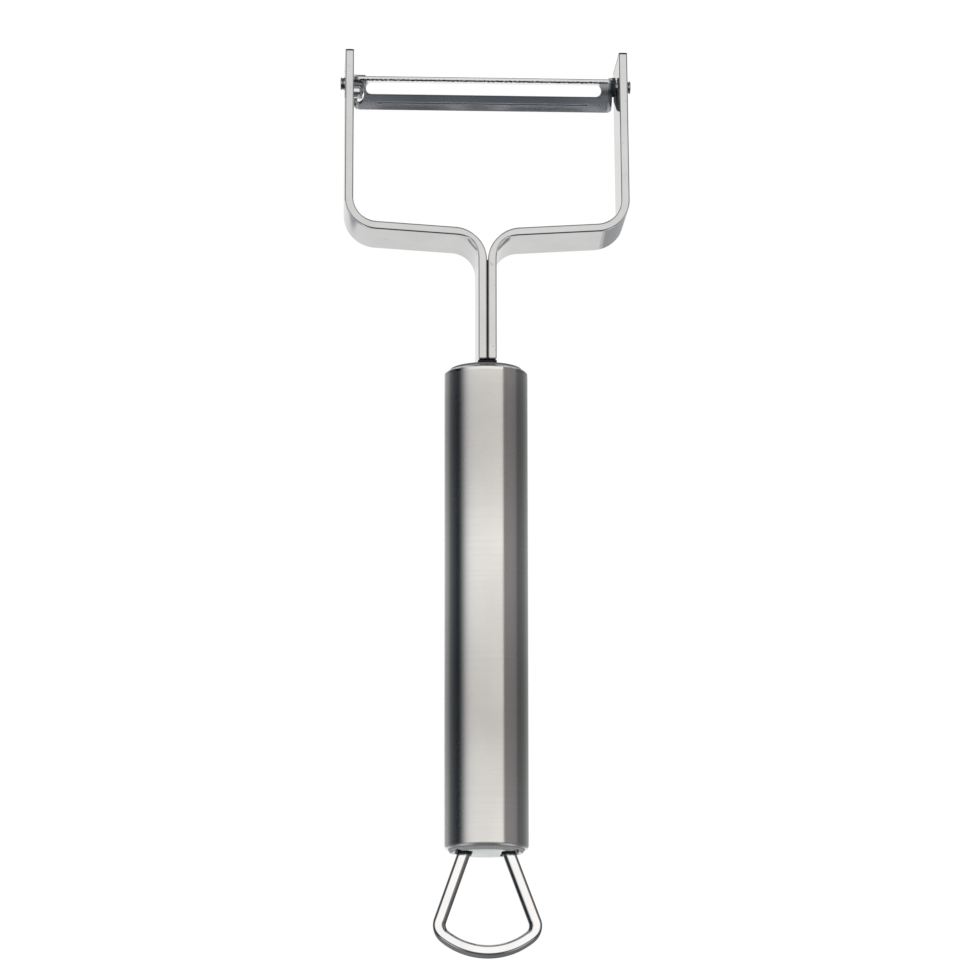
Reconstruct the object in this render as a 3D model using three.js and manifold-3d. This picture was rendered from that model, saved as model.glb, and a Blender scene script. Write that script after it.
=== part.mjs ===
// Vegetable peeler with a swivelling cross blade.
// Two bent steel strips form a yoke on a hollow round handle, the blade swings between their tips
// on two rivets, and a hanging loop swings in the handle's end cap.
// Millimetres, +Z up. The peeler lies on its back: +Y runs along the handle to the blade, +X across.
// Working origin of the functions below: on the handle's axis, in the plane of its front rim.

import * as THREE from "three";
import { mergeVertices } from "three/addons/utils/BufferGeometryUtils.js";
import Module from "manifold-3d";

const wasm = await Module();
wasm.setup();

// Handle tube and its end caps
const handleDiameter = 19;
const handleLength = 109.2;
const handleWall = 0.9;
const rimRadius = 0.75;
const capEdgeRadius = 0.7;
const capCrown = 0.15;
const capPlateDepth = 1;
const capSleeveWall = 0.7;
const frontSleeveLength = 3.2;
const rearSleeveLength = 9;

// Yoke strips
const stripThickness = 1.95;
const stripDepth = 17;
const stripSpacing = 0.25;
const bendRadius = 5.75;
const stemHeight = 24.6;
const barRise = THREE.MathUtils.degToRad(3.6);
const yokeWidth = 65.2;
const tipBeyondPivot = 5.9;
const tipCornerRadius = 0.6;
const shoulderHeight = 1.7;
const shoulderRadius = 0.7;

// Tang, its clamping cheeks and rivets inside the handle, and the seal under the shoulders
const tangLength = 26;
const tangDepth = 11;
const cheekLength = 18;
const cheekSetback = 5;
const tangRivetDiameter = 3;
const tangRivetHeadDiameter = 5;
const tangRivetHeadHeight = 1;
const tangRivetHeadInset = 0.6;
const tangRivetPitch = 9;
const sealLip = 0.45;
const sealDepth = 15.2;

// Swivelling blade: a bowed sheet with a long slot, and an ear bent back at each end
const pivotHeight = 68.4;
const earToArm = 0.95;
const bladeSheet = 0.7;
const bladeBowRadius = 7.7;
const bladeTopTilt = THREE.MathUtils.degToRad(1.4);
const lipWidth = 1.2;
const slotWidth = 3.15;
const guardWidth = 4.1;
const slotEndMargin = 2.5;
const earBendRadius = 1.2;
const earBossDiameter = 4.8;
const pivotBehindFace = 4;
const pivotTilt = THREE.MathUtils.degToRad(16.8);
const edgeBevelWidth = 0.55;
const edgeBevelDepth = 0.4;
const grooveEndMargin = 5.45;
const grooveRadius = 0.5;
const grooveDepth = 0.3;

// Rivets that carry the blade, and the stud that limits its swing
const pivotShankDiameter = 2;
const pivotHeadDiameter = 2.7;
const pivotHeadHeight = 1;
const pivotCollarDiameter = 3.6;
const pivotPeenDiameter = 3.2;
const pivotPeenHeight = 0.6;
const pinChamfer = 0.2;
const studDiameter = 3.2;
const studReach = 2.3;
const studDomeHeight = 0.9;
const studDistance = 4.2;
const studTilt = THREE.MathUtils.degToRad(41.5);
const bladeSwing = THREE.MathUtils.degToRad(12);

// Hanging loop and the axle that it swings on
const loopReach = 24.2;
const loopWireWidth = 2.9;
const loopWireDepth = 2.6;
const loopEdgeRadius = 0.7;
const loopLegSpacing = 9.45;
const loopLegSlant = THREE.MathUtils.degToRad(20.1);
const loopBottomRadius = 15.4;
const loopCornerRadius = 3.2;
const loopEyeDiameter = 4.8;
const axleDiameter = 2;
const axleDepth = 4.2;
const loopSwing = THREE.MathUtils.degToRad(25);
const capSlotCornerRadius = 0.9;

// Clearances
const seatGap = 0.1;
const runningGap = 0.2;
const cutMargin = 1;

// Smoothness
const handleSides = 48;
const smallSides = 18;
const sheetSides = 96;
const arcSteps = 8;
const filletSteps = 3;
const mergeTolerance = 1e-5;

// Sizes that follow from the ones above
const handleRadius = handleDiameter / 2;
const boreRadius = handleRadius - handleWall;
const capRadius = boreRadius - seatGap;
const capHeight = capEdgeRadius + capCrown;
const stripCentre = (stripSpacing + stripThickness) / 2;
const stemHalfWidth = stripSpacing / 2 + stripThickness;
const armInner = yokeWidth / 2 - stripThickness;
const tipHeight = pivotHeight + tipBeyondPivot;
const bladeEnd = armInner - earToArm;
const slotEnd = bladeEnd - slotEndMargin;
const grooveEnd = bladeEnd - grooveEndMargin;
const axlePlace = axleDepth - handleLength;
const slotTopTilt = bladeTopTilt + lipWidth / bladeBowRadius;
const slotLowTilt = slotTopTilt + slotWidth / bladeBowRadius;
const bladeLowTilt = slotLowTilt + guardWidth / bladeBowRadius;
const bowCentre = polar(pivotHeight, 0, pivotBehindFace - bladeBowRadius, pivotTilt);
const studPlace = polar(pivotHeight, 0, studDistance, studTilt);

// Point at a distance from (y, z), in the direction that leans from +Z towards the handle by a tilt
function polar(y, z, distance, tilt) {
  return new THREE.Vector2(y - distance * Math.sin(tilt), z + distance * Math.cos(tilt));
}

// Closed geometry to solid and back

function toSolid(geometry) {
  const bare = geometry.clone();
  bare.deleteAttribute("normal");
  bare.deleteAttribute("uv");
  const merged = mergeVertices(bare, mergeTolerance);
  const index = merged.index.array;
  const triangles = [];
  for (let i = 0; i < index.length; i += 3) {
    const [a, b, c] = index.slice(i, i + 3);
    if (a !== b && b !== c && c !== a) triangles.push(a, b, c);
  }
  const vertProperties = new Float32Array(merged.attributes.position.array);
  const triVerts = new Uint32Array(triangles);
  return new wasm.Manifold(new wasm.Mesh({ numProp: 3, vertProperties, triVerts }));
}

function toGeometry(solid) {
  const mesh = solid.getMesh();
  const geometry = new THREE.BufferGeometry();
  geometry.setAttribute("position", new THREE.BufferAttribute(mesh.vertProperties, 3));
  geometry.setIndex(new THREE.BufferAttribute(mesh.triVerts, 1));
  return geometry;
}

function subtractAll(solid, tools) {
  return tools.reduce((rest, tool) => rest.subtract(tool), solid);
}

// Basic forms

// Body turned about the handle's axis, from [radius, y] pairs
function turned(profile, sides) {
  return new THREE.LatheGeometry(profile.map(([radius, y]) => new THREE.Vector2(radius, y)), sides);
}

// Body turned about a line along X, from [radius, x] pairs
function turnedAcross(profile, sides, y, z) {
  return turned(profile, sides).rotateZ(-Math.PI / 2).translate(0, y, z);
}

// Plain pin along X between two ends
function pinAcross(radius, fromX, toX, y, z) {
  return turnedAcross([[0, fromX], [radius, fromX], [radius, toX], [0, toX]], smallSides, y, z);
}

// Prism along X from an outline in (y, z)
function prismAcross(shape, fromX, toX) {
  const options = { depth: toX - fromX, bevelEnabled: false, curveSegments: arcSteps };
  const turn = new THREE.Matrix4().makeBasis(
    new THREE.Vector3(0, 1, 0),
    new THREE.Vector3(0, 0, 1),
    new THREE.Vector3(1, 0, 0),
  );
  return new THREE.ExtrudeGeometry(shape, options).applyMatrix4(turn).translate(fromX, 0, 0);
}

// Quarter turn of an edge as [radius, place] pairs, about the edge's own centre
function quarterArc(centreRadius, centrePlace, radius, fromAngle, toAngle) {
  const points = [];
  for (let step = 0; step <= filletSteps; step += 1) {
    const angle = fromAngle + ((toAngle - fromAngle) * step) / filletSteps;
    points.push([centreRadius + radius * Math.cos(angle), centrePlace + radius * Math.sin(angle)]);
  }
  return points;
}

// Rectangle with round corners, centred on the origin
function roundedRectangle(width, height, radius) {
  const x = width / 2 - radius;
  const y = height / 2 - radius;
  const shape = new THREE.Shape();
  shape.absarc(x, y, radius, 0, Math.PI / 2);
  shape.absarc(-x, y, radius, Math.PI / 2, Math.PI);
  shape.absarc(-x, -y, radius, Math.PI, Math.PI * 1.5);
  shape.absarc(x, -y, radius, Math.PI * 1.5, Math.PI * 2);
  return shape;
}

// Handle

function handleTube() {
  const edge = handleRadius - rimRadius;
  const profile = [
    [boreRadius, -handleLength],
    ...quarterArc(edge, rimRadius - handleLength, rimRadius, -Math.PI / 2, 0),
    ...quarterArc(edge, -rimRadius, rimRadius, 0, Math.PI / 2),
    [boreRadius, 0],
    [boreRadius, -handleLength],
  ];
  return turned(profile, handleSides);
}

// Domed cap with a sleeve inside the tube: its face looks along +Y, the rim plane is at 0
function capBody(sleeveLength) {
  const flat = capRadius - capEdgeRadius;
  const sleeveInner = capRadius - capSleeveWall;
  const dome = [];
  for (let step = 0; step < filletSteps; step += 1) {
    const radius = (flat * step) / filletSteps;
    dome.push([radius, capEdgeRadius + capCrown * (1 - (radius / flat) ** 2)]);
  }
  const profile = [
    [0, -capPlateDepth],
    [sleeveInner, -capPlateDepth],
    [sleeveInner, -sleeveLength],
    [capRadius, -sleeveLength],
    ...quarterArc(flat, 0, capEdgeRadius, 0, Math.PI / 2),
    ...dome.reverse(),
  ];
  return turned(profile, handleSides);
}

function frontCap() {
  const reach = capHeight + capPlateDepth + 2 * cutMargin;
  const opening = new THREE.BoxGeometry(
    2 * (stemHalfWidth + seatGap),
    reach,
    tangDepth + 2 * seatGap,
  ).translate(0, reach / 2 - capPlateDepth - cutMargin, 0);
  return toGeometry(toSolid(capBody(frontSleeveLength)).subtract(toSolid(opening)));
}

// Slot that one leg of the loop passes through, cut along the leg's slant
function capSlot(side) {
  const outerReach = axleDepth + capHeight;
  const length = 2 * (
    outerReach * Math.tan(loopSwing) + loopWireDepth / 2 / Math.cos(loopSwing) + runningGap
  );
  const drift = outerReach * (1 / Math.cos(loopSwing) - 1) * Math.sin(loopLegSlant);
  const width = loopWireWidth + drift + 2 * runningGap;
  const shape = roundedRectangle(width, length, capSlotCornerRadius);
  const options = {
    depth: capHeight + capPlateDepth + 2 * cutMargin,
    bevelEnabled: false,
    curveSegments: filletSteps,
  };
  return new THREE.ExtrudeGeometry(shape, options)
    .translate(side * drift / 2, 0, -capPlateDepth - cutMargin)
    .rotateX(Math.PI / 2)
    .rotateZ(side * loopLegSlant)
    .translate(side * loopLegSpacing / 2, -handleLength, 0);
}

function rearCap() {
  const body = toSolid(capBody(rearSleeveLength).rotateZ(Math.PI).translate(0, -handleLength, 0));
  const axleHole = pinAcross(axleDiameter / 2 + seatGap, -handleRadius, handleRadius, axlePlace, 0);
  const tools = [axleHole, capSlot(1), capSlot(-1)];
  return toGeometry(subtractAll(body, tools.map(toSolid)));
}

// Yoke

// Front outline of a strip from the tang's end to the tip, for the right side
function stripOutline() {
  const half = stripThickness / 2;
  const turn = bendRadius + half;
  const low = new THREE.Vector2(stripCentre + turn, stemHeight);
  const highX = yokeWidth / 2 - half - turn;
  const run = highX - low.x;
  const joinOffset = 2 * turn * Math.sin(barRise);
  const rise = (run + joinOffset) * Math.tan(barRise) + 2 * turn * Math.cos(barRise);
  const high = new THREE.Vector2(highX, low.y + rise);
  const barStart = Math.PI / 2 + barRise;
  const barEnd = barRise - Math.PI / 2;
  const shape = new THREE.Shape();
  shape.moveTo(stripCentre + half, -tangLength);
  shape.absarc(low.x, low.y, bendRadius, Math.PI, barStart, true);
  shape.absarc(high.x, high.y, turn + half, barEnd, 0, false);
  shape.lineTo(yokeWidth / 2, tipHeight);
  shape.lineTo(armInner, tipHeight);
  shape.absarc(high.x, high.y, bendRadius, 0, barEnd, true);
  shape.absarc(low.x, low.y, turn + half, barStart, Math.PI, false);
  shape.lineTo(stripCentre - half, -tangLength);
  return shape.getPoints(arcSteps);
}

// Side outline of a strip in (y, z): a narrow tang, rounded shoulders and a full-depth arm
function stripSide() {
  const full = stripDepth / 2;
  const narrow = tangDepth / 2;
  const shape = new THREE.Shape();
  shape.moveTo(-tangLength - cutMargin, -narrow);
  shape.lineTo(shoulderHeight, -narrow);
  const shoulderY = shoulderHeight + shoulderRadius;
  shape.absarc(shoulderY, shoulderRadius - full, shoulderRadius, Math.PI, Math.PI * 1.5);
  shape.absarc(tipHeight - tipCornerRadius, tipCornerRadius - full, tipCornerRadius, -Math.PI / 2, 0);
  shape.absarc(tipHeight - tipCornerRadius, full - tipCornerRadius, tipCornerRadius, 0, Math.PI / 2);
  shape.absarc(shoulderY, full - shoulderRadius, shoulderRadius, Math.PI / 2, Math.PI);
  shape.lineTo(shoulderHeight, narrow);
  shape.lineTo(-tangLength - cutMargin, narrow);
  return shape;
}

// Rivet places along the handle, measured back from the rim
function tangRivetPlaces() {
  const middle = -cheekSetback - cheekLength / 2;
  return [middle + tangRivetPitch / 2, middle - tangRivetPitch / 2];
}

function yokeArm(side) {
  const points = stripOutline().map((point) => new THREE.Vector2(side * point.x, point.y));
  const options = { depth: stripDepth, bevelEnabled: false };
  const front = new THREE.ExtrudeGeometry(new THREE.Shape(points), options).translate(0, 0, -stripDepth / 2);
  const profile = prismAcross(stripSide(), -yokeWidth, yokeWidth);
  const reach = yokeWidth;
  const tools = [pinAcross(pivotShankDiameter / 2 + seatGap, -reach, reach, pivotHeight, 0)];
  if (side < 0) {
    tools.push(pinAcross(studDiameter / 2 + seatGap, -reach, 0, studPlace.x, studPlace.y));
  }
  for (const y of tangRivetPlaces()) {
    tools.push(pinAcross(tangRivetDiameter / 2 + seatGap, -reach, reach, y, 0));
  }
  return toGeometry(subtractAll(toSolid(front).intersect(toSolid(profile)), tools.map(toSolid)));
}

// Half-round block that clamps the tang inside the tube
function tangCheek(side) {
  const radius = boreRadius - runningGap;
  const inner = stemHalfWidth + seatGap;
  const edge = Math.acos(inner / radius);
  const shape = new THREE.Shape();
  shape.absarc(0, 0, radius, -edge, edge);
  const options = { depth: cheekLength, bevelEnabled: false, curveSegments: 2 * arcSteps };
  const block = new THREE.ExtrudeGeometry(shape, options)
    .rotateX(Math.PI / 2)
    .translate(0, -cheekSetback, 0)
    .rotateY(side > 0 ? 0 : Math.PI);
  const headSeat = tangRivetHeadSeat();
  const tools = tangRivetPlaces().flatMap((y) => [
    pinAcross(tangRivetDiameter / 2 + seatGap, -handleRadius, handleRadius, y, 0),
    pinAcross(tangRivetHeadDiameter / 2 + seatGap, headSeat, handleRadius, y, 0),
    pinAcross(tangRivetHeadDiameter / 2 + seatGap, -handleRadius, -headSeat, y, 0),
  ]);
  return toGeometry(subtractAll(toSolid(block), tools.map(toSolid)));
}

// Distance from the axis to the face that a tang rivet's head bears on
function tangRivetHeadSeat() {
  return boreRadius - runningGap - tangRivetHeadInset - tangRivetHeadHeight;
}

function tangRivet(y) {
  const seat = tangRivetHeadSeat() + seatGap / 2;
  const end = seat + tangRivetHeadHeight;
  const profile = [
    [0, -end],
    [tangRivetHeadDiameter / 2, -end],
    [tangRivetHeadDiameter / 2, -seat],
    [tangRivetDiameter / 2, -seat],
    [tangRivetDiameter / 2, seat],
    [tangRivetHeadDiameter / 2, seat],
    [tangRivetHeadDiameter / 2, end],
    [0, end],
  ];
  return turnedAcross(profile, smallSides, y, 0);
}

// Flat black seal between the front cap and the strips' shoulders
function stemSeal() {
  const bottom = capHeight + seatGap / 2;
  const top = shoulderHeight - seatGap / 2;
  const width = 2 * (stemHalfWidth + sealLip);
  const outer = roundedRectangle(width, sealDepth, shoulderRadius);
  const hole = new THREE.Path();
  const x = stemHalfWidth + seatGap;
  const z = tangDepth / 2 + seatGap;
  hole.setFromPoints([[-x, -z], [-x, z], [x, z], [x, -z]].map(([u, v]) => new THREE.Vector2(u, v)));
  outer.holes.push(hole);
  const options = { depth: top - bottom, bevelEnabled: false, curveSegments: filletSteps };
  return new THREE.ExtrudeGeometry(outer, options).rotateX(Math.PI / 2).translate(0, top, 0);
}

// Blade

// Round-edged drum about the bow's axis: the sheet is the skin between two of these
function bowDrum(radius, end, edgeRadius) {
  const inner = radius - edgeRadius;
  const profile = [
    [0, -end],
    ...quarterArc(inner, edgeRadius - end, edgeRadius, -Math.PI / 2, 0),
    ...quarterArc(inner, end - edgeRadius, edgeRadius, 0, Math.PI / 2),
    [0, end],
  ];
  return turnedAcross(profile, sheetSides, bowCentre.x, bowCentre.y);
}

// Tangent point on the ear's boss of a line from a point outside it
function bossTangent(from, turnSign) {
  const toBoss = new THREE.Vector2(pivotHeight, 0).sub(from);
  const radius = earBossDiameter / 2;
  const distance = toBoss.length();
  const lean = toBoss.angle() + turnSign * Math.asin(radius / distance);
  const run = Math.sqrt(distance ** 2 - radius ** 2);
  return new THREE.Vector2(from.x + run * Math.cos(lean), from.y + run * Math.sin(lean));
}

// Trim of the sheet and ears in (y, z): the bow's arc, closed round the pivot's boss
function bladeSide() {
  const outside = bladeBowRadius + cutMargin;
  const inside = bladeBowRadius - bladeSheet;
  const topOuter = polar(bowCentre.x, bowCentre.y, outside, bladeTopTilt);
  const topInner = polar(bowCentre.x, bowCentre.y, inside, bladeTopTilt);
  const lowInner = polar(bowCentre.x, bowCentre.y, inside, bladeLowTilt);
  const topTangent = bossTangent(topInner, 1);
  const lowTangent = bossTangent(lowInner, -1);
  const fromAngle = Math.atan2(topTangent.y, topTangent.x - pivotHeight);
  const toAngle = Math.atan2(lowTangent.y, lowTangent.x - pivotHeight);
  const shape = new THREE.Shape();
  shape.moveTo(topOuter.x, topOuter.y);
  shape.lineTo(topInner.x, topInner.y);
  shape.lineTo(topTangent.x, topTangent.y);
  shape.absarc(pivotHeight, 0, earBossDiameter / 2, fromAngle, toAngle, true);
  shape.lineTo(lowInner.x, lowInner.y);
  const lowAngle = Math.PI / 2 + bladeLowTilt;
  const topAngle = Math.PI / 2 + bladeTopTilt;
  shape.absarc(bowCentre.x, bowCentre.y, outside, lowAngle, topAngle, true);
  return shape;
}

// Tool placed on the sheet's face at a tilt, with its own Z along the face's normal
function onFace(geometry, tilt) {
  const place = polar(bowCentre.x, bowCentre.y, bladeBowRadius, tilt);
  return geometry.rotateX(tilt).translate(0, place.x, place.y);
}

function peelSlot() {
  const shape = roundedRectangle(2 * slotEnd, slotWidth, slotWidth / 2);
  const options = { depth: 2 * pivotBehindFace, bevelEnabled: false, curveSegments: arcSteps };
  const prism = new THREE.ExtrudeGeometry(shape, options).translate(0, 0, -pivotBehindFace);
  return onFace(prism, (slotTopTilt + slotLowTilt) / 2);
}

// Ground bevel along the slot's upper edge, which makes the cutting edge
function edgeBevel() {
  const shape = new THREE.Shape();
  shape.moveTo(-cutMargin, -edgeBevelDepth);
  shape.lineTo(0, -edgeBevelDepth);
  shape.lineTo(edgeBevelWidth, 0);
  shape.lineTo(edgeBevelWidth, cutMargin);
  shape.lineTo(-cutMargin, cutMargin);
  const half = slotEnd - slotWidth / 2;
  return onFace(prismAcross(shape, -half, half), slotTopTilt);
}

function guardGroove() {
  const straight = 2 * (grooveEnd - grooveRadius);
  const capsule = new THREE.CapsuleGeometry(grooveRadius, straight, filletSteps, smallSides);
  capsule.rotateZ(Math.PI / 2).translate(0, 0, grooveRadius - grooveDepth);
  return onFace(capsule, (slotLowTilt + bladeLowTilt) / 2);
}

// Curved window in the left end that lets the blade swing about the stop stud
function studWindow() {
  const half = studDiameter / 2 + runningGap;
  const spread = bladeSwing + Math.asin(half / studDistance);
  const middle = Math.PI / 2 + studTilt;
  const shape = new THREE.Shape();
  shape.absarc(pivotHeight, 0, studDistance - half, middle - spread, middle + spread, false);
  shape.absarc(pivotHeight, 0, studDistance + half, middle + spread, middle - spread, true);
  const end = studReach - armInner + runningGap;
  return prismAcross(shape, -bladeEnd - cutMargin, end);
}

function peelingBlade() {
  const skin = bowDrum(bladeBowRadius, bladeEnd, earBendRadius);
  const hollow = bowDrum(bladeBowRadius - bladeSheet, bladeEnd - bladeSheet, earBendRadius - bladeSheet);
  const trim = prismAcross(bladeSide(), -armInner, armInner);
  const pivotHole = pinAcross(pivotShankDiameter / 2 + runningGap, -armInner, armInner, pivotHeight, 0);
  const sheet = toSolid(skin).subtract(toSolid(hollow)).intersect(toSolid(trim));
  const tools = [peelSlot(), edgeBevel(), guardGroove(), studWindow(), pivotHole];
  return toGeometry(subtractAll(sheet, tools.map(toSolid)));
}

// Rivet fixed in a strip: head outside, collar between strip and ear, peened end inside the ear
function pivotRivet(side) {
  const shank = pivotShankDiameter / 2;
  const head = pivotHeadDiameter / 2;
  const headSeat = yokeWidth / 2 + seatGap / 2;
  const top = yokeWidth / 2 + pivotHeadHeight;
  const collarOuter = armInner - seatGap / 2;
  const collarInner = bladeEnd + runningGap;
  const peenSeat = bladeEnd - bladeSheet - runningGap;
  const peenEnd = peenSeat - pivotPeenHeight;
  const profile = [
    [0, peenEnd],
    [pivotPeenDiameter / 2 - pinChamfer, peenEnd],
    [pivotPeenDiameter / 2, peenEnd + pinChamfer],
    [pivotPeenDiameter / 2, peenSeat],
    [shank, peenSeat],
    [shank, collarInner],
    [pivotCollarDiameter / 2, collarInner],
    [pivotCollarDiameter / 2, collarOuter],
    [shank, collarOuter],
    [shank, headSeat],
    [head, headSeat],
    [head, top - pinChamfer],
    [head - pinChamfer, top],
    [0, top],
  ];
  const rivet = turnedAcross(profile, smallSides, pivotHeight, 0);
  return side > 0 ? rivet : rivet.translate(0, -pivotHeight, 0).rotateZ(Math.PI).translate(0, pivotHeight, 0);
}

// Domed stud riveted into the left strip
function stopStud() {
  const radius = studDiameter / 2;
  const outer = -yokeWidth / 2;
  const shoulder = studReach - armInner - studDomeHeight;
  const dome = [];
  for (let step = 0; step <= filletSteps; step += 1) {
    const angle = (Math.PI / 2) * (step / filletSteps);
    dome.push([radius * Math.cos(angle), shoulder + studDomeHeight * Math.sin(angle)]);
  }
  return turnedAcross([[0, outer], [radius, outer], ...dome], smallSides, studPlace.x, studPlace.y);
}

// Hanging loop

// Band outline in (x, y): slanted legs, round corners and an arched bottom
function loopOutline() {
  const half = loopWireWidth / 2;
  const bottomY = half - handleLength - loopReach;
  const arch = new THREE.Vector2(0, bottomY + loopBottomRadius);
  const along = new THREE.Vector2(Math.sin(loopLegSlant), -Math.cos(loopLegSlant));
  const outward = new THREE.Vector2(Math.cos(loopLegSlant), Math.sin(loopLegSlant));
  const legTop = new THREE.Vector2(loopLegSpacing / 2, -handleLength);
  const start = legTop.clone().addScaledVector(outward, -loopCornerRadius).sub(arch);
  const reach = loopBottomRadius - loopCornerRadius;
  const slope = start.dot(along);
  const run = Math.sqrt(slope ** 2 + reach ** 2 - start.lengthSq()) - slope;
  const corner = start.addScaledVector(along, run).add(arch);
  const swing = Math.asin(corner.x / reach);
  const down = -Math.PI / 2;
  const eye = legTop.clone().addScaledVector(along, -axleDepth / Math.cos(loopLegSlant));
  const outerEnd = eye.clone().addScaledVector(outward, half);
  const innerEnd = eye.clone().addScaledVector(outward, -half);
  const outerCorner = loopCornerRadius + half;
  const innerCorner = loopCornerRadius - half;
  const shape = new THREE.Shape();
  shape.moveTo(outerEnd.x, outerEnd.y);
  shape.absarc(corner.x, corner.y, outerCorner, loopLegSlant, down + swing, true);
  shape.absarc(arch.x, arch.y, loopBottomRadius + half, down + swing, down - swing, true);
  shape.absarc(-corner.x, corner.y, outerCorner, down - swing, -Math.PI - loopLegSlant, true);
  shape.lineTo(-outerEnd.x, outerEnd.y);
  shape.lineTo(-innerEnd.x, innerEnd.y);
  shape.absarc(-corner.x, corner.y, innerCorner, -Math.PI - loopLegSlant, down - swing, false);
  shape.absarc(arch.x, arch.y, loopBottomRadius - half, down - swing, down + swing, false);
  shape.absarc(corner.x, corner.y, innerCorner, down + swing, loopLegSlant, false);
  shape.lineTo(innerEnd.x, innerEnd.y);
  return { shape, eyeX: eye.x };
}

function hangingLoop() {
  const { shape, eyeX } = loopOutline();
  const options = {
    depth: loopWireDepth - 2 * loopEdgeRadius,
    bevelThickness: loopEdgeRadius,
    bevelSize: loopEdgeRadius,
    bevelOffset: -loopEdgeRadius,
    bevelSegments: 2,
    curveSegments: arcSteps,
  };
  const band = new THREE.ExtrudeGeometry(shape, options).translate(0, 0, loopEdgeRadius - loopWireDepth / 2);
  const half = loopWireWidth / 2;
  let loop = toSolid(band);
  for (const side of [1, -1]) {
    const eye = pinAcross(loopEyeDiameter / 2, side * eyeX - half, side * eyeX + half, axlePlace, 0);
    loop = loop.add(toSolid(eye));
  }
  const bore = pinAcross(axleDiameter / 2 + runningGap, -handleRadius, handleRadius, axlePlace, 0);
  return toGeometry(loop.subtract(toSolid(bore)));
}

function loopAxle() {
  const end = capRadius - seatGap;
  return pinAcross(axleDiameter / 2, -end, end, axlePlace, 0);
}

// Finishes
const brushedSteel = { color: 0xb9b6b1, roughness: 0.38, metalness: 1 };
const polishedSteel = { color: 0xd6d5d3, roughness: 0.12, metalness: 1 };
const bladeSteel = { color: 0x8d9198, roughness: 0.22, metalness: 1 };
const plainSteel = { color: 0xa7a7a5, roughness: 0.4, metalness: 1 };
const blackRubber = { color: 0x151515, roughness: 0.7, metalness: 0 };

const [frontRivetPlace, rearRivetPlace] = tangRivetPlaces();
const pieces = [
  ["handle_tube", handleTube(), brushedSteel],
  ["front_cap", frontCap(), polishedSteel],
  ["rear_cap", rearCap(), polishedSteel],
  ["stem_seal", stemSeal(), blackRubber],
  ["yoke_arm_left", yokeArm(-1), polishedSteel],
  ["yoke_arm_right", yokeArm(1), polishedSteel],
  ["tang_cheek_left", tangCheek(-1), plainSteel],
  ["tang_cheek_right", tangCheek(1), plainSteel],
  ["tang_rivet_front", tangRivet(frontRivetPlace), plainSteel],
  ["tang_rivet_rear", tangRivet(rearRivetPlace), plainSteel],
  ["peeling_blade", peelingBlade(), bladeSteel],
  ["pivot_rivet_left", pivotRivet(-1), polishedSteel],
  ["pivot_rivet_right", pivotRivet(1), polishedSteel],
  ["stop_stud", stopStud(), polishedSteel],
  ["hanging_loop", hangingLoop(), polishedSteel],
  ["loop_axle", loopAxle(), plainSteel],
];

// The origin lies under the middle of the whole peeler, on the surface that it rests on
const peeler = new THREE.Group();
peeler.name = "vegetable_peeler";
peeler.position.set(0, (handleLength + loopReach - tipHeight) / 2, handleRadius);
for (const [name, geometry, finish] of pieces) {
  const mesh = new THREE.Mesh(geometry, new THREE.MeshStandardMaterial(finish));
  mesh.name = name;
  peeler.add(mesh);
}

export default peeler;
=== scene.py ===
# Looks of the steel vegetable peeler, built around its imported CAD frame.
# The builders below work in millimetres, from the handle's axis in the plane of its front rim:
# +Y runs to the blade, +Z up to the viewer, +X to the right arm. place() turns that into the frame's metres.

import math

import bmesh
import bpy
from mathutils import Matrix, Vector


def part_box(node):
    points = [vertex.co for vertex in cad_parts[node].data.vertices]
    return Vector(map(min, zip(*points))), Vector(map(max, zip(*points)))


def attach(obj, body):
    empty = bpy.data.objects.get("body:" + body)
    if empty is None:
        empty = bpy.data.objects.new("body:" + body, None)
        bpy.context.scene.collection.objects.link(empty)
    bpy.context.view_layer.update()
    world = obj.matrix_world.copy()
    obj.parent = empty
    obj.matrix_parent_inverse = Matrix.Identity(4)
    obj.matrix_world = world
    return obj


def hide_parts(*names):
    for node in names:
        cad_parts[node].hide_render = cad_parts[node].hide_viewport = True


MM = 0.001

# Handle and caps
HANDLE_RADIUS = 9.5
HANDLE_LENGTH = 109.2
HANDLE_WALL = 0.9
FRONT_RIM_RADIUS = 1.1
FRONT_RIM_CREASE = math.radians(25)
REAR_RIM_RADIUS = 1.0
REAR_RIM_CREASE = math.radians(12)
FRONT_RIM_TILT = math.radians(78)
REAR_RIM_TILT = math.radians(60)
CAP_RADIUS = 8.5
FRONT_CAP_EDGE = 0.7
REAR_CAP_EDGE = 0.9
CAP_CROWN = 0.15
CAP_PLATE_DEPTH = 1.0
CAP_SLEEVE_WALL = 0.7
FRONT_SLEEVE_LENGTH = 3.2
REAR_SLEEVE_LENGTH = 9.0

# Yoke strips
STRIP_THICKNESS = 1.95
STRIP_DEPTH = 17.0
STRIP_SPACING = 0.25
STRIP_EDGE_RADIUS = 0.42
CURL_DEPTH = 3.2
CURL_INSET = 0.42
CURL_STEPS = 6
BEND_RADIUS = 5.75
STEM_HEIGHT = 24.6
BAR_RISE = math.radians(3.6)
YOKE_WIDTH = 65.2
RIGHT_ARM_LEAN = 0.32
TIP_CORNER_RADIUS = 0.6
TIP_PLAN_RADIUS = 0.2
SHOULDER_HEIGHT = 1.35
SHOULDER_RADIUS = 0.35
SHOULDER_PLAN_RADIUS = 0.4
TANG_DEPTH = 11.0

# Seal under the shoulders, with a black web between the strips that stands as painted shade in the gap
# between them
SEAL_DEPTH = 15.2
SEAL_LIP = 0.08
SEAL_EDGE_RADIUS = 0.15
WEB_GAP = 0.02
WEB_SETBACK = 0.45

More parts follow.
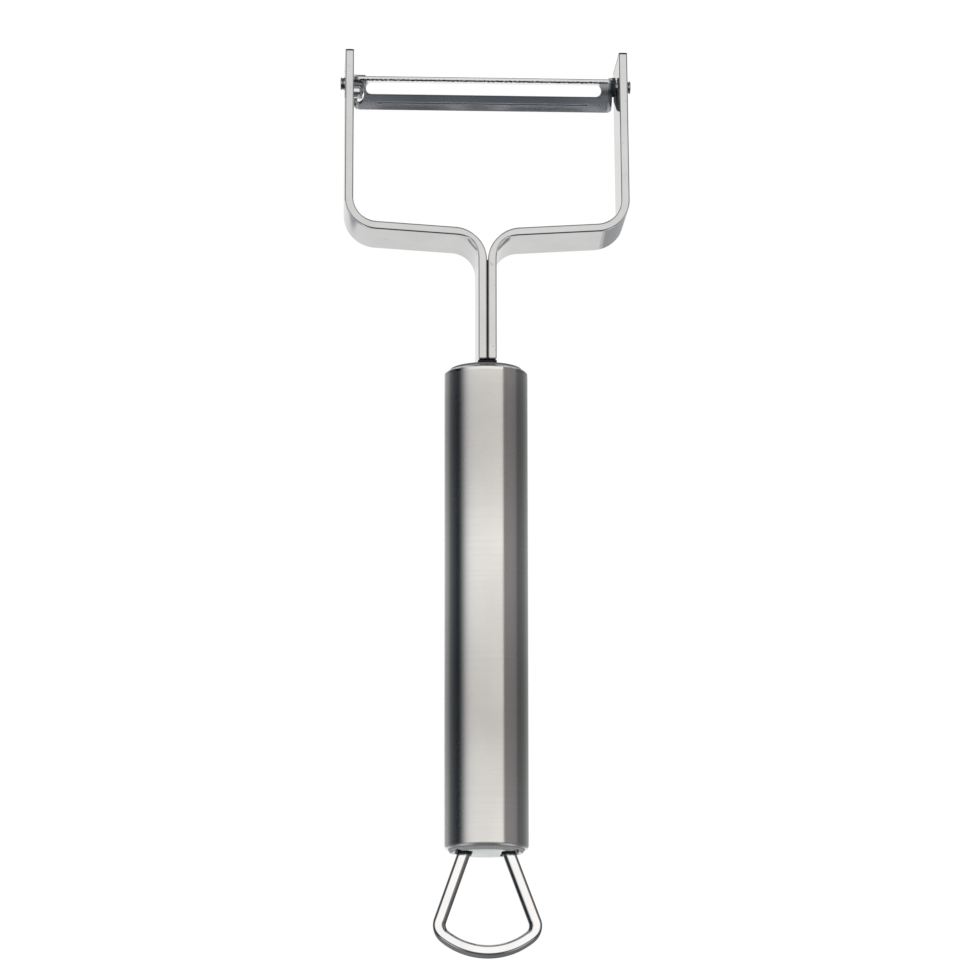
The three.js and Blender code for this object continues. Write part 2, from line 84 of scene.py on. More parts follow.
# Blade; each wave of its ground edge is a height, a pace and a start
PIVOT_HEIGHT = 68.4
TIP_BEYOND_PIVOT = 5.9
EAR_TO_ARM = 0.8
BLADE_SHEET = 0.7
BOW_RADIUS = 7.7
BLADE_TOP_TILT = math.radians(1.4)
LIP_WIDTH = 1.55
SLOT_WIDTH = 2.65
GUARD_WIDTH = 4.25
SLOT_END_MARGIN = 2.65
EAR_BEND_RADIUS = 1.2
BLADE_SHIFT = -0.6
BLADE_DROP = -0.2
EAR_BOSS_DIAMETER = 4.8
PIVOT_BEHIND_FACE = 4.0
PIVOT_TILT = math.radians(16.8)
EDGE_LINE_PLACE = 0.66
EDGE_LINE_HALF_WIDTH = 0.22
EDGE_LINE_DEPTH = 0.15
EDGE_LINE_CLEAR = 0.2
EDGE_TOOTH_PITCH = 0.45
EDGE_TOOTH_DEPTH = 0.12
EDGE_TOOTH_WAVES = ((1, 1, 0), (0.7, 0.437, 1.3), (0.6, 1.731, 4.1))
EDGE_DRIFT_PITCH = 1.35
EDGE_DRIFT_SHARE = 0.5
TOP_EASE_WIDTH = 0.16
TOP_EASE_DEPTH = 0.14
HUB_LENGTH = 1.9
HUB_WALL = 0.35
GUSSET_RADIUS = 3.6
GUSSET_LENGTH = 1.9
GUSSET_TILTS = (math.radians(82), math.radians(135))
EAR_RING_LENGTH = 0.85
EAR_RING_WALL = 0.25
GROOVE_END_MARGIN = 5.45
GROOVE_RADIUS = 0.5
GROOVE_DEPTH = 0.08
DIMPLE_SWELL = 0.9
DIMPLE_PLACE = 0.5
DIMPLE_SPREAD = 0.3
DIMPLE_REACH = 1.4

# Pivot rivets and stop stud
PIVOT_SHANK_DIAMETER = 2.0
PIVOT_HEAD_DIAMETER = 2.9
PIVOT_HEAD_HEIGHT = 1.0
PIVOT_COLLAR_DIAMETER = 3.6
PIVOT_PEEN_DIAMETER = 3.2
PIVOT_PEEN_HEIGHT = 0.6
PIN_CHAMFER = 0.2
STUD_DIAMETER = 3.2
STUD_REACH = 2.3
STUD_DOME_HEIGHT = 1.5
STUD_END_PROUD = 0.06
STUD_DISTANCE = 4.2
STUD_TILT = math.radians(41.5)
BLADE_SWING = math.radians(12)

# Hanging loop
LOOP_REACH = 24.2
LOOP_WIRE_WIDTH = 2.9
LOOP_WIRE_DEPTH = 2.6
LOOP_LEG_FLAT = (-0.45, 1.02)
LOOP_ARCH_FLAT = (-1.12, 0.72)
LOOP_LEG_WIDEST = (0.45, 0.7)
LOOP_ARCH_WIDEST = (0.8, -1.0)
LOOP_EDGE_RADIUS = 0.4
LOOP_LEG_SPACING = 9.45
LOOP_LEG_SLANT = math.radians(20.1)
LOOP_BOTTOM_RADIUS = 15.4
LOOP_CORNER_RADIUS = 3.2
LOOP_EYE_DIAMETER = 4.8
LOOP_LEAN = 0.013
AXLE_DIAMETER = 2.0
AXLE_DEPTH = 4.2
LOOP_SWING = math.radians(25)
CAP_SLOT_HALF_LENGTH = 5.4
CAP_SLOT_CORNER_RADIUS = 1.1

# Clearances
SEAT_GAP = 0.1
RUNNING_GAP = 0.2
CUT_MARGIN = 1.0
ROUND_END_FLAT = 0.002

# Smoothness
HANDLE_SIDES = 256
SHEET_SIDES = 320
PIN_SIDES = 64
FILLET_STEPS = 6
BEND_STEP = math.radians(2.5)
EDGE_STEPS_PER_TOOTH = 4
GROOVE_STEP_POWER = 1.5
LEG_BLEND_POWER = 3
SHARP_ANGLE = math.radians(32)
RIM_SHARP_ANGLE = math.radians(18)
BLADE_SHARP_ANGLE = math.radians(22)
FLAT_WEIGHT = 100

# Noise in the finishes; lines, clouds and specks are changes per metre
NOISE_MIDDLE = (0.3, 0.7)
LINE_NOISES = (("Fine", 1.0, 3.0), ("Broad", 0.17, 2.0))
USUAL_MARKS = (("Cloud Scale", 60.0), ("Speck Scale", 900.0), ("Speck Limit", 0.74))
CLOUD_DETAIL = 4.0
SPECK_DETAIL = 2.0
SPECK_FULL = 0.85
LINE_BUMP_DEPTH = 0.02
SMEAR_BUMP_DEPTH = 0.1
SMEAR_BUMP = 0.02

# Finish of the handle, with painted sheen: its colour rises and falls in slow waves along it and is lighter
# towards its front
HANDLE_SHEEN_TONES = ((0.71, 0.69, 0.665), (0.985, 0.965, 0.935))
HANDLE_ROUGHNESS = (0.24, 0.3)
HANDLE_BUMP = 0.04
HANDLE_LINES = (40, 7000, 40)
HANDLE_CLOUDS = 45.0
LINE_TURN = 0.25
FINE_LINE_TONE = (0.5, 0.49, 0.48)
BROAD_LINE_TONE = (0.6, 0.59, 0.58)
LINE_SHARE = 0.1
SHEEN_WAVE_LENGTH = 62.7
SHEEN_WAVE_CREST = -45.4
END_POLISH = 1.3
END_POLISH_BLUR = 0.26
END_TONE = (0.5, 0.49, 0.48)
END_SHARE = 0.35
END_ROUGHNESS = 0.07
FRONT_SHEEN_LIFT = 0.4
FRONT_SHEEN_LENGTH = 8.0

# Finish of the caps; their round edges carry painted shade, matt and dark, up to a share of the edge's height
CAP_TONES = ((0.88, 0.9, 0.91), (0.95, 0.97, 0.98))
CAP_ROUGHNESS = 0.28
CAP_NICKS = 0.1
FRONT_EDGE_SHADE_SHARES = (0.98, 1.0)
FRONT_EDGE_SHADE_TONE = (0.23, 0.233, 0.236)
REAR_EDGE_SHADE_SHARES = (0.9, 0.98)
REAR_EDGE_SHADE_TONE = (0.5, 0.515, 0.52)

# Finish of polished steel
POLISH_CLOUDS = 140.0
POLISH_SPECKS = 700.0
POLISH_SPECK_LIMIT = 0.68
NICK_TONE = (0.25, 0.25, 0.25)
SMEAR_ROUGHNESS = 1.4

# Finish of the strips, with painted shade on their tips and a painted reflection of the blade's end beside it
YOKE_TONES = ((0.574, 0.571, 0.575), (0.638, 0.635, 0.639))
YOKE_ROUGHNESS = 0.07
YOKE_NICKS = 0.6
TIP_SHADE = 0.6
TIP_BLUR = 0.2
TIP_SHADE_TONE = (0.01, 0.01, 0.011)
IMAGE_LEAN = 0.31
IMAGE_TOP = 0.4
IMAGE_REACH = 5.7
IMAGE_BACK_SLOPE = 0.27
IMAGE_FRONT_SLOPE = 0.04
IMAGE_BLUR = 0.3
BLADE_REFLECTION_TONE = (0.09, 0.094, 0.1)

# Finish of the rivets and the stud; the rivets' darker tones are painted shade on the same polished steel
PIN_ROUGHNESS = 0.1
RIVET_SHADED_TONES = ((0.36, 0.36, 0.37), (0.46, 0.46, 0.47))
RIVET_NICKS = 0.3
STUD_TONES = ((0.72, 0.73, 0.73), (0.80, 0.81, 0.81))
STUD_NICKS = 0.1

# Finish of the loop, with painted shade on the sides between its flats and on the legs where they enter the
# cap
LOOP_TONES = ((0.86, 0.85, 0.855), (0.92, 0.91, 0.915))
LOOP_ROUGHNESS = 0.05
LOOP_NICKS = 0.2
SLOT_SHADE = 0.5
SLOT_SHADE_TONE = (0.05, 0.053, 0.058)
WIRE_FLAT_LEVEL = 0.12
WIRE_SIDE_LEVEL = 0.4
WIRE_SIDE_SHADE_TONE = (0.45, 0.45, 0.46)

# Finish of the blade; margins and the rim's reach are tilts about the bow
BLADE_TONES = ((0.80, 0.82, 0.85), (0.92, 0.93, 0.95))
BLADE_ROUGHNESS = (0.22, 0.3)
BLADE_BUMP = 0.02
BLADE_LINES = (60, 4000, 4000)
BLADE_GRIT = (2600, 3000, 3000)
BLADE_CLOUDS = 120.0
GRIT_TONES = ((0.03, 0.03, 0.035), (0.9, 0.9, 0.9))
GRIT_MIDDLE = (0.5, 0.68)
GROUND_ROUGHNESS = 0.6
GROUND_DEPTHS = (0.03, 0.65)
GROUND_MARGIN = 0.02
GROOVE_SHADE_TONE = (0.25, 0.26, 0.28)
GROOVE_SHADE_SHARE = 0.55
GROOVE_SHADE_DEPTHS = (0.01, 0.04)
GROOVE_DEEPEST = 0.24
GROOVE_MARGIN = 0.08
SHADE_TONE = (0.1, 0.105, 0.115)
LIP_SHADE = 0.25
LIP_BLUR = 0.02
LEFT_END_SHADE = 0.95
LEFT_END_BLUR = 0.5
LEFT_END_FADE = 2.0
RIGHT_END_SHADE = 0.75
RIGHT_END_OVERLAP = 0.6
RIGHT_END_BLUR = 0.3
RIGHT_END_FADE = 0.75
GUARD_RIM_SHADE = 0.4
GUARD_RIM_MARGIN = 0.01
GUARD_RIM_REACH = (0.03, 0.05)
GUARD_END_DULL = 0.16
GUARD_LOW_DULL = 0.15

# Finish of the hidden fittings and the seal
INNER_TONES = ((0.52, 0.52, 0.51), (0.66, 0.66, 0.65))
INNER_ROUGHNESS = (0.35, 0.5)
INNER_CLOUDS = 200.0
RUBBER_TONES = ((0.006, 0.006, 0.006), (0.02, 0.02, 0.02))
RUBBER_ROUGHNESS = (0.55, 0.75)
RUBBER_CLOUDS = 300.0

# Camera
CAMERA_PLACE = (-45.77, -218.5, 920.93)
CAMERA_PITCH = 0.2056
CAMERA_YAW = -0.0492
CAMERA_ROLL = -0.001
CAMERA_LENS = 153.73
CAMERA_SENSOR = 36.0
CAMERA_CLIP = (0.01, 50)

# Floor and cards of the studio
STUDIO_CLOUDS = 1.0
FLOOR_HALF = 3000
FLOOR_GLOW = 0.965
FLOOR_TONES = ((0.13, 0.13, 0.13), (0.14, 0.14, 0.14))
FLOOR_GLOW_TONES = ((0.99, 0.99, 0.99), (1, 1, 1))
CARD_TONES = ((0.02, 0.02, 0.02), (0.03, 0.03, 0.03))
CARD_GLOW_TONES = ((0.97, 0.97, 0.96), (1, 1, 0.99))
BACKDROP_DEPTH = 140.0
BACKDROP_ACROSS = (-71.7, 54.0)
BACKDROP_FADE = 6.0
BACKDROP_ALONG = (-190.0, 200.0)
BACKDROP_GLOW = 0.84
FADE_GLOW = 0.62
RING_INNER = ((-100.0, 100.0), (-70.0, 150.0))
RING_OUTER = ((-420.0, 420.0), (-520.0, 520.0))
RING_BELOW_BACKDROP = 1.0
RING_GLOW = 0.5
WALL_PLACE = 400.0
WALL_STRETCHES = ((-600.0, 80.0), (215.0, 800.0))
WALL_HEIGHTS = (-150.0, 110.0)

# Light of the studio, as colours at angles: across and along over the top, and up from straight below
LIGHT_ACROSS = (
    (-180, (0.02, 0.023, 0.027)),
    (-90, (0.004, 0.006, 0.009)),
    (-80, (0.022, 0.026, 0.032)),
    (-70, (0.24, 0.25, 0.26)),
    (-60, (0.63, 0.635, 0.64)),
    (-51, (0.86, 0.86, 0.86)),
    (-42, (0.98, 0.97, 0.955)),
    (-27, (1.05, 1.04, 1.02)),
    (10, (1.07, 1.055, 1.03)),
    (45, (1.09, 1.055, 1.03)),
    (47, (0.26, 0.252, 0.25)),
    (90, (0.225, 0.22, 0.222)),
    (180, (0.18, 0.19, 0.19)),
)
LIGHT_ALONG = (
    (-90, (0.07, 0.08, 0.098)),
    (-27, (0.075, 0.085, 0.103)),
    (-13, (0.95, 0.95, 0.95)),
    (0, (1, 1, 1)),
    (26, (1, 1, 1)),
    (36, (0.32, 0.33, 0.34)),
    (80, (0.25, 0.26, 0.27)),
    (90, (0.18, 0.19, 0.2)),
)
LIGHT_LOW_RIGHT = (
    (0, (0.4, 0.41, 0.415)),
    (18, (0.39, 0.4, 0.405)),
    (37, (0.27, 0.28, 0.283)),
    (58, (0.14, 0.148, 0.15)),
    (74, (0.105, 0.11, 0.113)),
    (90, (0.105, 0.108, 0.11)),
)
LIGHT_LOW_LEFT = (
    (0, (0.38, 0.40, 0.42)),
    (20, (0.36, 0.38, 0.395)),
    (45, (0.31, 0.33, 0.335)),
    (62, (0.105, 0.115, 0.122)),
    (76, (0.052, 0.06, 0.068)),
    (90, (0.012, 0.015, 0.019)),
)

# Where the lights meet, as stretches of a direction's X, Y or Z
SIDES_MEET = (-0.1, 0.1)
HORIZON = (-0.02, 0.02)
LOW_END = (-0.72, -0.88)
LOW_END_TONE = (0.06, 0.07, 0.085)
CORNER_ACROSS = (0.25, 0.45)
CORNER_ALONG = (0.62, 0.78)
CORNER_FOOT = (-0.75, -0.6)
CORNER_TOP = (0.3, 0.1)
CORNER_TONE = (0.75, 0.76, 0.77)

# Sizes that follow from the ones above
BORE_RADIUS = HANDLE_RADIUS - HANDLE_WALL
FRONT_CAP_HEIGHT = FRONT_CAP_EDGE + CAP_CROWN
REAR_CAP_HEIGHT = REAR_CAP_EDGE + CAP_CROWN
STRIP_CENTRE = (STRIP_SPACING + STRIP_THICKNESS) / 2
STEM_HALF_WIDTH = STRIP_SPACING / 2 + STRIP_THICKNESS
ARM_OUTER = YOKE_WIDTH / 2
ARM_INNER = ARM_OUTER - STRIP_THICKNESS
TIP_HEIGHT = PIVOT_HEIGHT + TIP_BEYOND_PIVOT
BLADE_END = ARM_INNER - EAR_TO_ARM
SLOT_END = BLADE_END - SLOT_END_MARGIN
GROOVE_END = BLADE_END - GROOVE_END_MARGIN
SLOT_TOP_TILT = BLADE_TOP_TILT + LIP_WIDTH / BOW_RADIUS
SLOT_LOW_TILT = SLOT_TOP_TILT + SLOT_WIDTH / BOW_RADIUS
BLADE_LOW_TILT = SLOT_LOW_TILT + GUARD_WIDTH / BOW_RADIUS
PIVOT_IN_BLADE = PIVOT_HEIGHT - BLADE_DROP
EDGE_LINE_TILT = SLOT_TOP_TILT - EDGE_LINE_PLACE / BOW_RADIUS
EDGE_LINE_END = BLADE_END - EAR_BEND_RADIUS
STUD_SHOULDER = STUD_REACH - ARM_INNER - STUD_DOME_HEIGHT
AXLE_PLACE = AXLE_DEPTH - HANDLE_LENGTH
LEG_TOP = Vector((LOOP_LEG_SPACING / 2, -HANDLE_LENGTH))
LEG_ALONG = Vector((math.sin(LOOP_LEG_SLANT), -math.cos(LOOP_LEG_SLANT)))
LEG_OUTWARD = Vector((math.cos(LOOP_LEG_SLANT), math.sin(LOOP_LEG_SLANT)))
QUARTER = math.pi / 2

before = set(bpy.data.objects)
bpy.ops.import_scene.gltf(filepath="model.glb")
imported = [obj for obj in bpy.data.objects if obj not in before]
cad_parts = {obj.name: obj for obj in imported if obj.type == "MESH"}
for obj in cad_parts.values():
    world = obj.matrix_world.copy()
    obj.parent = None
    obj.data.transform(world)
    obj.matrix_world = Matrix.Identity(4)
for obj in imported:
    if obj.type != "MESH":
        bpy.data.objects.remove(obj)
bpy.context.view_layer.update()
tube_low, tube_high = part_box("handle_tube")
FRAME_ORIGIN = Vector((0, tube_high.y, (tube_low.z + tube_high.z) / 2))


def place(x, y, z):
    """Point of the builders, in the frame."""
    return Vector((x, y, z)) * MM + FRAME_ORIGIN


def polar(y, z, distance, tilt):
    """Point at a distance from (y, z), in the direction that leans from +Z towards the handle by a tilt."""
    return y - distance * math.sin(tilt), z + distance * math.cos(tilt)


BOW_CENTRE = polar(PIVOT_HEIGHT, 0, PIVOT_BEHIND_FACE - BOW_RADIUS, PIVOT_TILT)
STUD_PLACE = polar(PIVOT_HEIGHT, 0, STUD_DISTANCE, STUD_TILT)


# Mesh forms

def face_outward(mesh):
    work = bmesh.new()
    work.from_mesh(mesh)
    bmesh.ops.recalc_face_normals(work, faces=work.faces)
    work.to_mesh(mesh)
    work.free()


def mesh_object(name, points, faces):
    mesh = bpy.data.meshes.new(name)
    mesh.from_pydata([place(*point) for point in points], [], faces)
    face_outward(mesh)
    made = bpy.data.objects.new(name, mesh)
    bpy.context.scene.collection.objects.link(made)
    return made


def evenly(start, end, steps):
    """Values from start to end in even steps."""
    return [start + (end - start) * step / steps for step in range(steps + 1)]


def arc(centre_a, centre_b, radius, start, end, steps):
    """Points on an arc, as (a, b) pairs."""
    turns = evenly(start, end, steps)
    return [(centre_a + radius * math.cos(t), centre_b + radius * math.sin(t)) for t in turns]


def bend(centre_x, centre_y, radius, first, last, to_heading):
    """Bend of a middle line as (x, y, heading), the heading at a fixed angle to the radius."""
    steps = math.ceil(abs(last - first) / BEND_STEP)
    spots = arc(centre_x, centre_y, radius, first, last, steps)
    return [(x, y, angle + to_heading) for (x, y), angle in zip(spots, evenly(first, last, steps))]


def section_at(x, y, heading, outline):
    """Outline in (across, z), set square to a heading."""
    return [(x + math.sin(heading) * a, y - math.cos(heading) * a, b) for a, b in outline]


def rounded_rectangle(width, height, radius, steps=FILLET_STEPS):
    """Closed outline with round corners, centred on the origin, anticlockwise."""
    a = width / 2 - radius
    b = height / 2 - radius
    outline = []
    for turn, (ca, cb) in enumerate([(a, b), (-a, b), (-a, -b), (a, -b)]):
        start = turn * QUARTER
        outline += arc(ca, cb, radius, start, start + QUARTER, steps)
    return outline


def turned(name, profile, sides, along, centre=(0, 0)):
    """Body turned from (radius, place) pairs about a line along Y, or along X through centre = (y, z)."""
    points = []
    rings = []
    for radius, reach in profile:
        count = sides if radius > 0 else 1
        rings.append((len(points), count))
        for side in range(count):
            angle = 2 * math.pi * side / sides
            u = radius * math.cos(angle)
            v = radius * math.sin(angle)
            points.append((v, reach, u) if along == "Y" else (reach, centre[0] + u, centre[1] + v))
    faces = []
    closed = profile[0][0] > 0
    pairs = list(zip(rings, rings[1:] + rings[:1]))
    for (first, first_count), (second, second_count) in pairs if closed else pairs[:-1]:
        for side in range(sides):
            following = (side + 1) % sides
            corners = [
                first + side % first_count,
                first + following % first_count,
                second + following % second_count,
                second + side % second_count,
            ]
            faces.append(list(dict.fromkeys(corners)))
    return mesh_object(name, points, faces)


def sleeve(name, bore, outer, from_x, to_x, centre):
    """Ring along X through centre = (y, z), or a pin where its bore is 0."""
    profile = [(bore, from_x), (outer, from_x), (outer, to_x), (bore, to_x)]
    return turned(name, profile, PIN_SIDES, "X", centre)


def lofted(name, rings):
    """Body through rings of points, closed at both ends."""
    count = len(rings[0])
    points = [point for ring in rings for point in ring]
    faces = [list(range(count - 1, -1, -1))]
    for ring in range(len(rings) - 1):
        for corner in range(count):
            following = (corner + 1) % count
            low = ring * count
            high = low + count
            faces.append([low + corner, low + following, high + following, high + corner])
    last = len(points) - count
    faces.append(list(range(last, len(points))))
    return mesh_object(name, points, faces)


def prism_across(name, outline, from_x, to_x):
    """Prism along X from an outline in (y, z)."""
    return lofted(name, [[(x, y, z) for y, z in outline] for x in (from_x, to_x)])


def box_tool(name, half_x, low_y, high_y, half_z):
    """Box that is centred in X and Z."""
    outline = [(low_y, -half_z), (high_y, -half_z), (high_y, half_z), (low_y, half_z)]
    return prism_across(name, outline, -half_x, half_x)


def cut(piece, tools, operation="DIFFERENCE"):
    """Cuts a body with other bodies, which are used up."""
    for tool in tools:
        change = piece.modifiers.new("cut", "BOOLEAN")
        change.operation = operation
        change.solver = "EXACT"
        change.object = tool
    bpy.context.view_layer.update()
    graph = bpy.context.evaluated_depsgraph_get()
    result = bpy.data.meshes.new_from_object(piece.evaluated_get(graph))
    piece.modifiers.clear()
    old = piece.data
    piece.data = result
    result.name = old.name
    bpy.data.meshes.remove(old)
    for tool in tools:
        bpy.data.meshes.remove(tool.data)
    return piece


def joined(piece, other):
    """Adds another body's mesh to a piece."""
    work = bmesh.new()
    work.from_mesh(piece.data)
    work.from_mesh(other.data)
    work.to_mesh(piece.data)
    work.free()
    bpy.data.meshes.remove(other.data)
    return piece


def soften(piece, sharp_angle=SHARP_ANGLE):
    """Smooth shading that keeps flats flat and creases sharp."""
    piece.data.shade_smooth()
    piece.data.set_sharp_from_angle(angle=sharp_angle)
    weighting = piece.modifiers.new("even flats", "WEIGHTED_NORMAL")
    weighting.keep_sharp = True
    weighting.weight = FLAT_WEIGHT
    return piece


def paint(piece, material):
    """Gives a piece one material."""
    piece.data.materials.clear()
    piece.data.materials.append(material)


def dress(piece, body, node, material):
    """Puts a finished piece on its body, in place of its CAD node."""
    paint(piece, material)
    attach(piece, body)
    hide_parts(node)
    return piece


# Handle

def rim_arc(radius, crease, inner_tilt):
    """Rounded rim that starts with a crease, as (radius, distance from the end) from the wall inwards."""
    centre = HANDLE_RADIUS - radius * math.cos(crease)
    rise = radius * math.sin(inner_tilt)
    return [(r, rise - h) for r, h in arc(centre, 0, radius, crease, inner_tilt, FILLET_STEPS)]


def handle_tube():
    narrowest = BORE_RADIUS + SEAT_GAP
    rear_rim = rim_arc(REAR_RIM_RADIUS, REAR_RIM_CREASE, REAR_RIM_TILT)
    front_rim = rim_arc(FRONT_RIM_RADIUS, FRONT_RIM_CREASE, FRONT_RIM_TILT)
    rear = [(max(r, narrowest), depth - HANDLE_LENGTH) for r, depth in rear_rim]
    front = [(max(r, narrowest), -depth) for r, depth in front_rim]
    profile = [(BORE_RADIUS, -HANDLE_LENGTH)] + rear[::-1] + front + [(BORE_RADIUS, 0)]
    return soften(turned("brushed_tube", profile, HANDLE_SIDES, "Y"), RIM_SHARP_ANGLE)


def cap_profile(sleeve_length, edge, way):
    """Domed plate with a sleeve and a round edge, its face looking along +Y (way 1) or -Y (way -1)."""
    flat = CAP_RADIUS - edge
    inner = CAP_RADIUS - CAP_SLEEVE_WALL
    profile = [(0, -CAP_PLATE_DEPTH), (inner, -CAP_PLATE_DEPTH)]
    profile += [(inner, -sleeve_length), (CAP_RADIUS, -sleeve_length)]
    profile += arc(flat, 0, edge, 0, QUARTER, FILLET_STEPS)
    for step in range(FILLET_STEPS - 1, -1, -1):
        radius = flat * step / FILLET_STEPS
        profile.append((radius, edge + CAP_CROWN * (1 - (radius / flat) ** 2)))
    base = 0 if way > 0 else -HANDLE_LENGTH
    return [(radius, base + way * reach) for radius, reach in profile]


def front_cap():
    cap = turned("front_dome", cap_profile(FRONT_SLEEVE_LENGTH, FRONT_CAP_EDGE, 1), HANDLE_SIDES, "Y")
    opening = box_tool(
        "stem_opening",
        STEM_HALF_WIDTH + SEAT_GAP,
        -CAP_PLATE_DEPTH - CUT_MARGIN,
        FRONT_CAP_HEIGHT + CUT_MARGIN,
        TANG_DEPTH / 2 + SEAT_GAP,
    )
    return soften(cut(cap, [opening]))


def cap_slot(side):
    """Slot in the rear cap that one leg of the loop passes through, along the leg's slant."""
    reach = AXLE_DEPTH + REAR_CAP_HEIGHT
    drift = reach * (1 / math.cos(LOOP_SWING) - 1) * math.sin(LOOP_LEG_SLANT)
    skew = LOOP_WIRE_DEPTH / 2 * math.tan(LOOP_SWING) * math.sin(LOOP_LEG_SLANT)
    width = LOOP_WIRE_WIDTH + drift + skew + 2 * RUNNING_GAP
    outline = rounded_rectangle(width, 2 * CAP_SLOT_HALF_LENGTH, CAP_SLOT_CORNER_RADIUS)
    rings = []
    for depth in (-CAP_PLATE_DEPTH - CUT_MARGIN, REAR_CAP_HEIGHT + CUT_MARGIN):
        middle = LEG_TOP + LEG_ALONG * depth + LEG_OUTWARD * drift / 2
        ring = section_at(middle.x, middle.y, QUARTER + LOOP_LEG_SLANT, outline)
        rings.append([(side * x, y, z) for x, y, z in ring])
    return lofted("leg_slot", rings)


def rear_cap():
    cap = turned("rear_dome", cap_profile(REAR_SLEEVE_LENGTH, REAR_CAP_EDGE, -1), HANDLE_SIDES, "Y")
    return soften(cut(cap, [cap_slot(1), cap_slot(-1)]))


# Yoke

def strip_path(side):
    """Middle line of a strip from its shoulder to its tip, as (x, y, heading) with the heading from +X."""
    turn = BEND_RADIUS + STRIP_THICKNESS / 2
    low_x = STRIP_CENTRE + turn
    high_x = ARM_OUTER - STRIP_THICKNESS / 2 - turn
    offset = 2 * turn * math.sin(BAR_RISE)
    rise = (high_x - low_x + offset) * math.tan(BAR_RISE) + 2 * turn * math.cos(BAR_RISE)
    path = [(STRIP_CENTRE, SHOULDER_HEIGHT, QUARTER)]
    path += bend(low_x, STEM_HEIGHT, turn, math.pi, QUARTER + BAR_RISE, -QUARTER)
    path += bend(high_x, STEM_HEIGHT + rise, turn, BAR_RISE - QUARTER, 0, QUARTER)
    lean = RIGHT_ARM_LEAN if side > 0 else 0
    path.append((ARM_OUTER - STRIP_THICKNESS / 2 - lean, TIP_HEIGHT, QUARTER))
    return [(side * x, y, heading if side > 0 else math.pi - heading) for x, y, heading in path]


def strip_outline(width, height, inner_side, curl):
    """Rounded section of a strip; its front edge draws in by a curl on the inner side of a bend."""
    corners = rounded_rectangle(width, height, STRIP_EDGE_RADIUS)
    per_corner = FILLET_STEPS + 1
    low = height / 2 - STRIP_EDGE_RADIUS - CURL_DEPTH
    levels = evenly(low, low + CURL_DEPTH, CURL_STEPS)[:-1]
    outline = corners[:2 * per_corner]
    outline += [(-width / 2, level) for level in levels[::-1]]
    outline += corners[2 * per_corner:]
    outline += [(width / 2, level) for level in levels]

    def drawn_in(a, b):
        share = max((b - low) / CURL_DEPTH, 0)
        return a - inner_side * curl * share ** 2 * max(inner_side * a / (width / 2), 0)

    return [(drawn_in(a, b), b) for a, b in outline]


def strip_ring(x, y, heading, inset_across, inset_deep, inner_side=1, curl=0):
    """Section of a strip at a place on its path, drawn in by an inset across it and in its depth."""
    width = STRIP_THICKNESS - 2 * inset_across
    outline = strip_outline(width, STRIP_DEPTH - 2 * inset_deep, inner_side, curl)
    return section_at(x, y, heading, outline)


def rounded_inset(distance, radius):
    """How far a corner of a radius has drawn in, at a distance from the end."""
    short = max(radius - distance, 0)
    return radius - math.sqrt(max(radius ** 2 - short ** 2, 0))


def closing(reach, steps):
    """Distances from an end up to a reach, closer together near the end."""
    return [reach * (1 - math.cos(angle)) for angle in evenly(0, QUARTER, steps)]


def strip_end(x, heading, end, way, plan_radius, depth_radius):
    """Rings that round off a strip's end, from the end inwards."""
    rings = []
    for distance in closing(max(plan_radius, depth_radius), 2 * FILLET_STEPS):
        insets = (rounded_inset(distance, plan_radius), rounded_inset(distance, depth_radius))
        rings.append(strip_ring(x, end - way * distance, heading, *insets))
    return rings


def yoke_strip(name, side):
    """Flat strip from its shoulder to its tip, which draws in a little at the lower bend."""
    path = strip_path(side)
    x, y, heading = path[0]
    rings = strip_end(x, heading, y, -1, SHOULDER_PLAN_RADIUS, SHOULDER_RADIUS)
    bend_rings = (len(path) - 2) // 2
    for index, spot in enumerate(path[1:-1]):
        share = min(index / (bend_rings - 1), 1)
        curl = CURL_INSET * math.sin(math.pi * share) ** 2
        rings.append(strip_ring(*spot, 0, 0, side, curl))
    x, y, heading = path[-1]
    rings += strip_end(x, heading, y, 1, TIP_PLAN_RADIUS, TIP_CORNER_RADIUS)[::-1]
    return soften(lofted(name, rings))


def stem_seal():
    """Rubber plate under the shoulders, with a black web between the strips that is painted shade in the gap
    between them.
    """
    low = FRONT_CAP_HEIGHT + SEAT_GAP / 2
    high = SHOULDER_HEIGHT - SEAT_GAP / 2
    width = 2 * (STEM_HALF_WIDTH + SEAL_LIP)
    edge = [(distance, rounded_inset(distance, SEAL_EDGE_RADIUS))
            for distance in closing(SEAL_EDGE_RADIUS, FILLET_STEPS)]
    levels = [(low + distance, inset) for distance, inset in edge]
    levels += [(high - distance, inset) for distance, inset in edge[::-1]]
    rings = []
    for level, inset in levels:
        outline = rounded_rectangle(width - 2 * inset, SEAL_DEPTH - 2 * inset, SHOULDER_RADIUS)
        rings.append([(a, level, b) for a, b in outline])
    seal = lofted("rubber_seal", rings)
    half = STRIP_DEPTH / 2 - WEB_SETBACK
    web = box_tool("gap_shade_web", STRIP_SPACING / 2 - WEB_GAP, high - SEAT_GAP, STEM_HEIGHT, half)
    return soften(joined(seal, web))


# Blade

def bow_drum(name, radius, end, edge_radius):
    """Round-edged drum about the bow's axis: the sheet is the skin between two of these."""
    inner = radius - edge_radius
    profile = [(0, -end)]
    profile += arc(inner, edge_radius - end, edge_radius, -QUARTER, 0, FILLET_STEPS)
    profile += arc(inner, end - edge_radius, edge_radius, 0, QUARTER, FILLET_STEPS)
    profile.append((0, end))
    return turned(name, profile, SHEET_SIDES, "X", BOW_CENTRE)


def boss_tangent(start, turn_sign):
    """Point where a line from a start outside it touches the ear's boss."""
    to_boss = Vector((PIVOT_HEIGHT - start[0], -start[1]))
    radius = EAR_BOSS_DIAMETER / 2
    lean = math.atan2(to_boss.y, to_boss.x) + turn_sign * math.asin(radius / to_boss.length)
    run = math.sqrt(to_boss.length ** 2 - radius ** 2)
    return start[0] + run * math.cos(lean), start[1] + run * math.sin(lean)


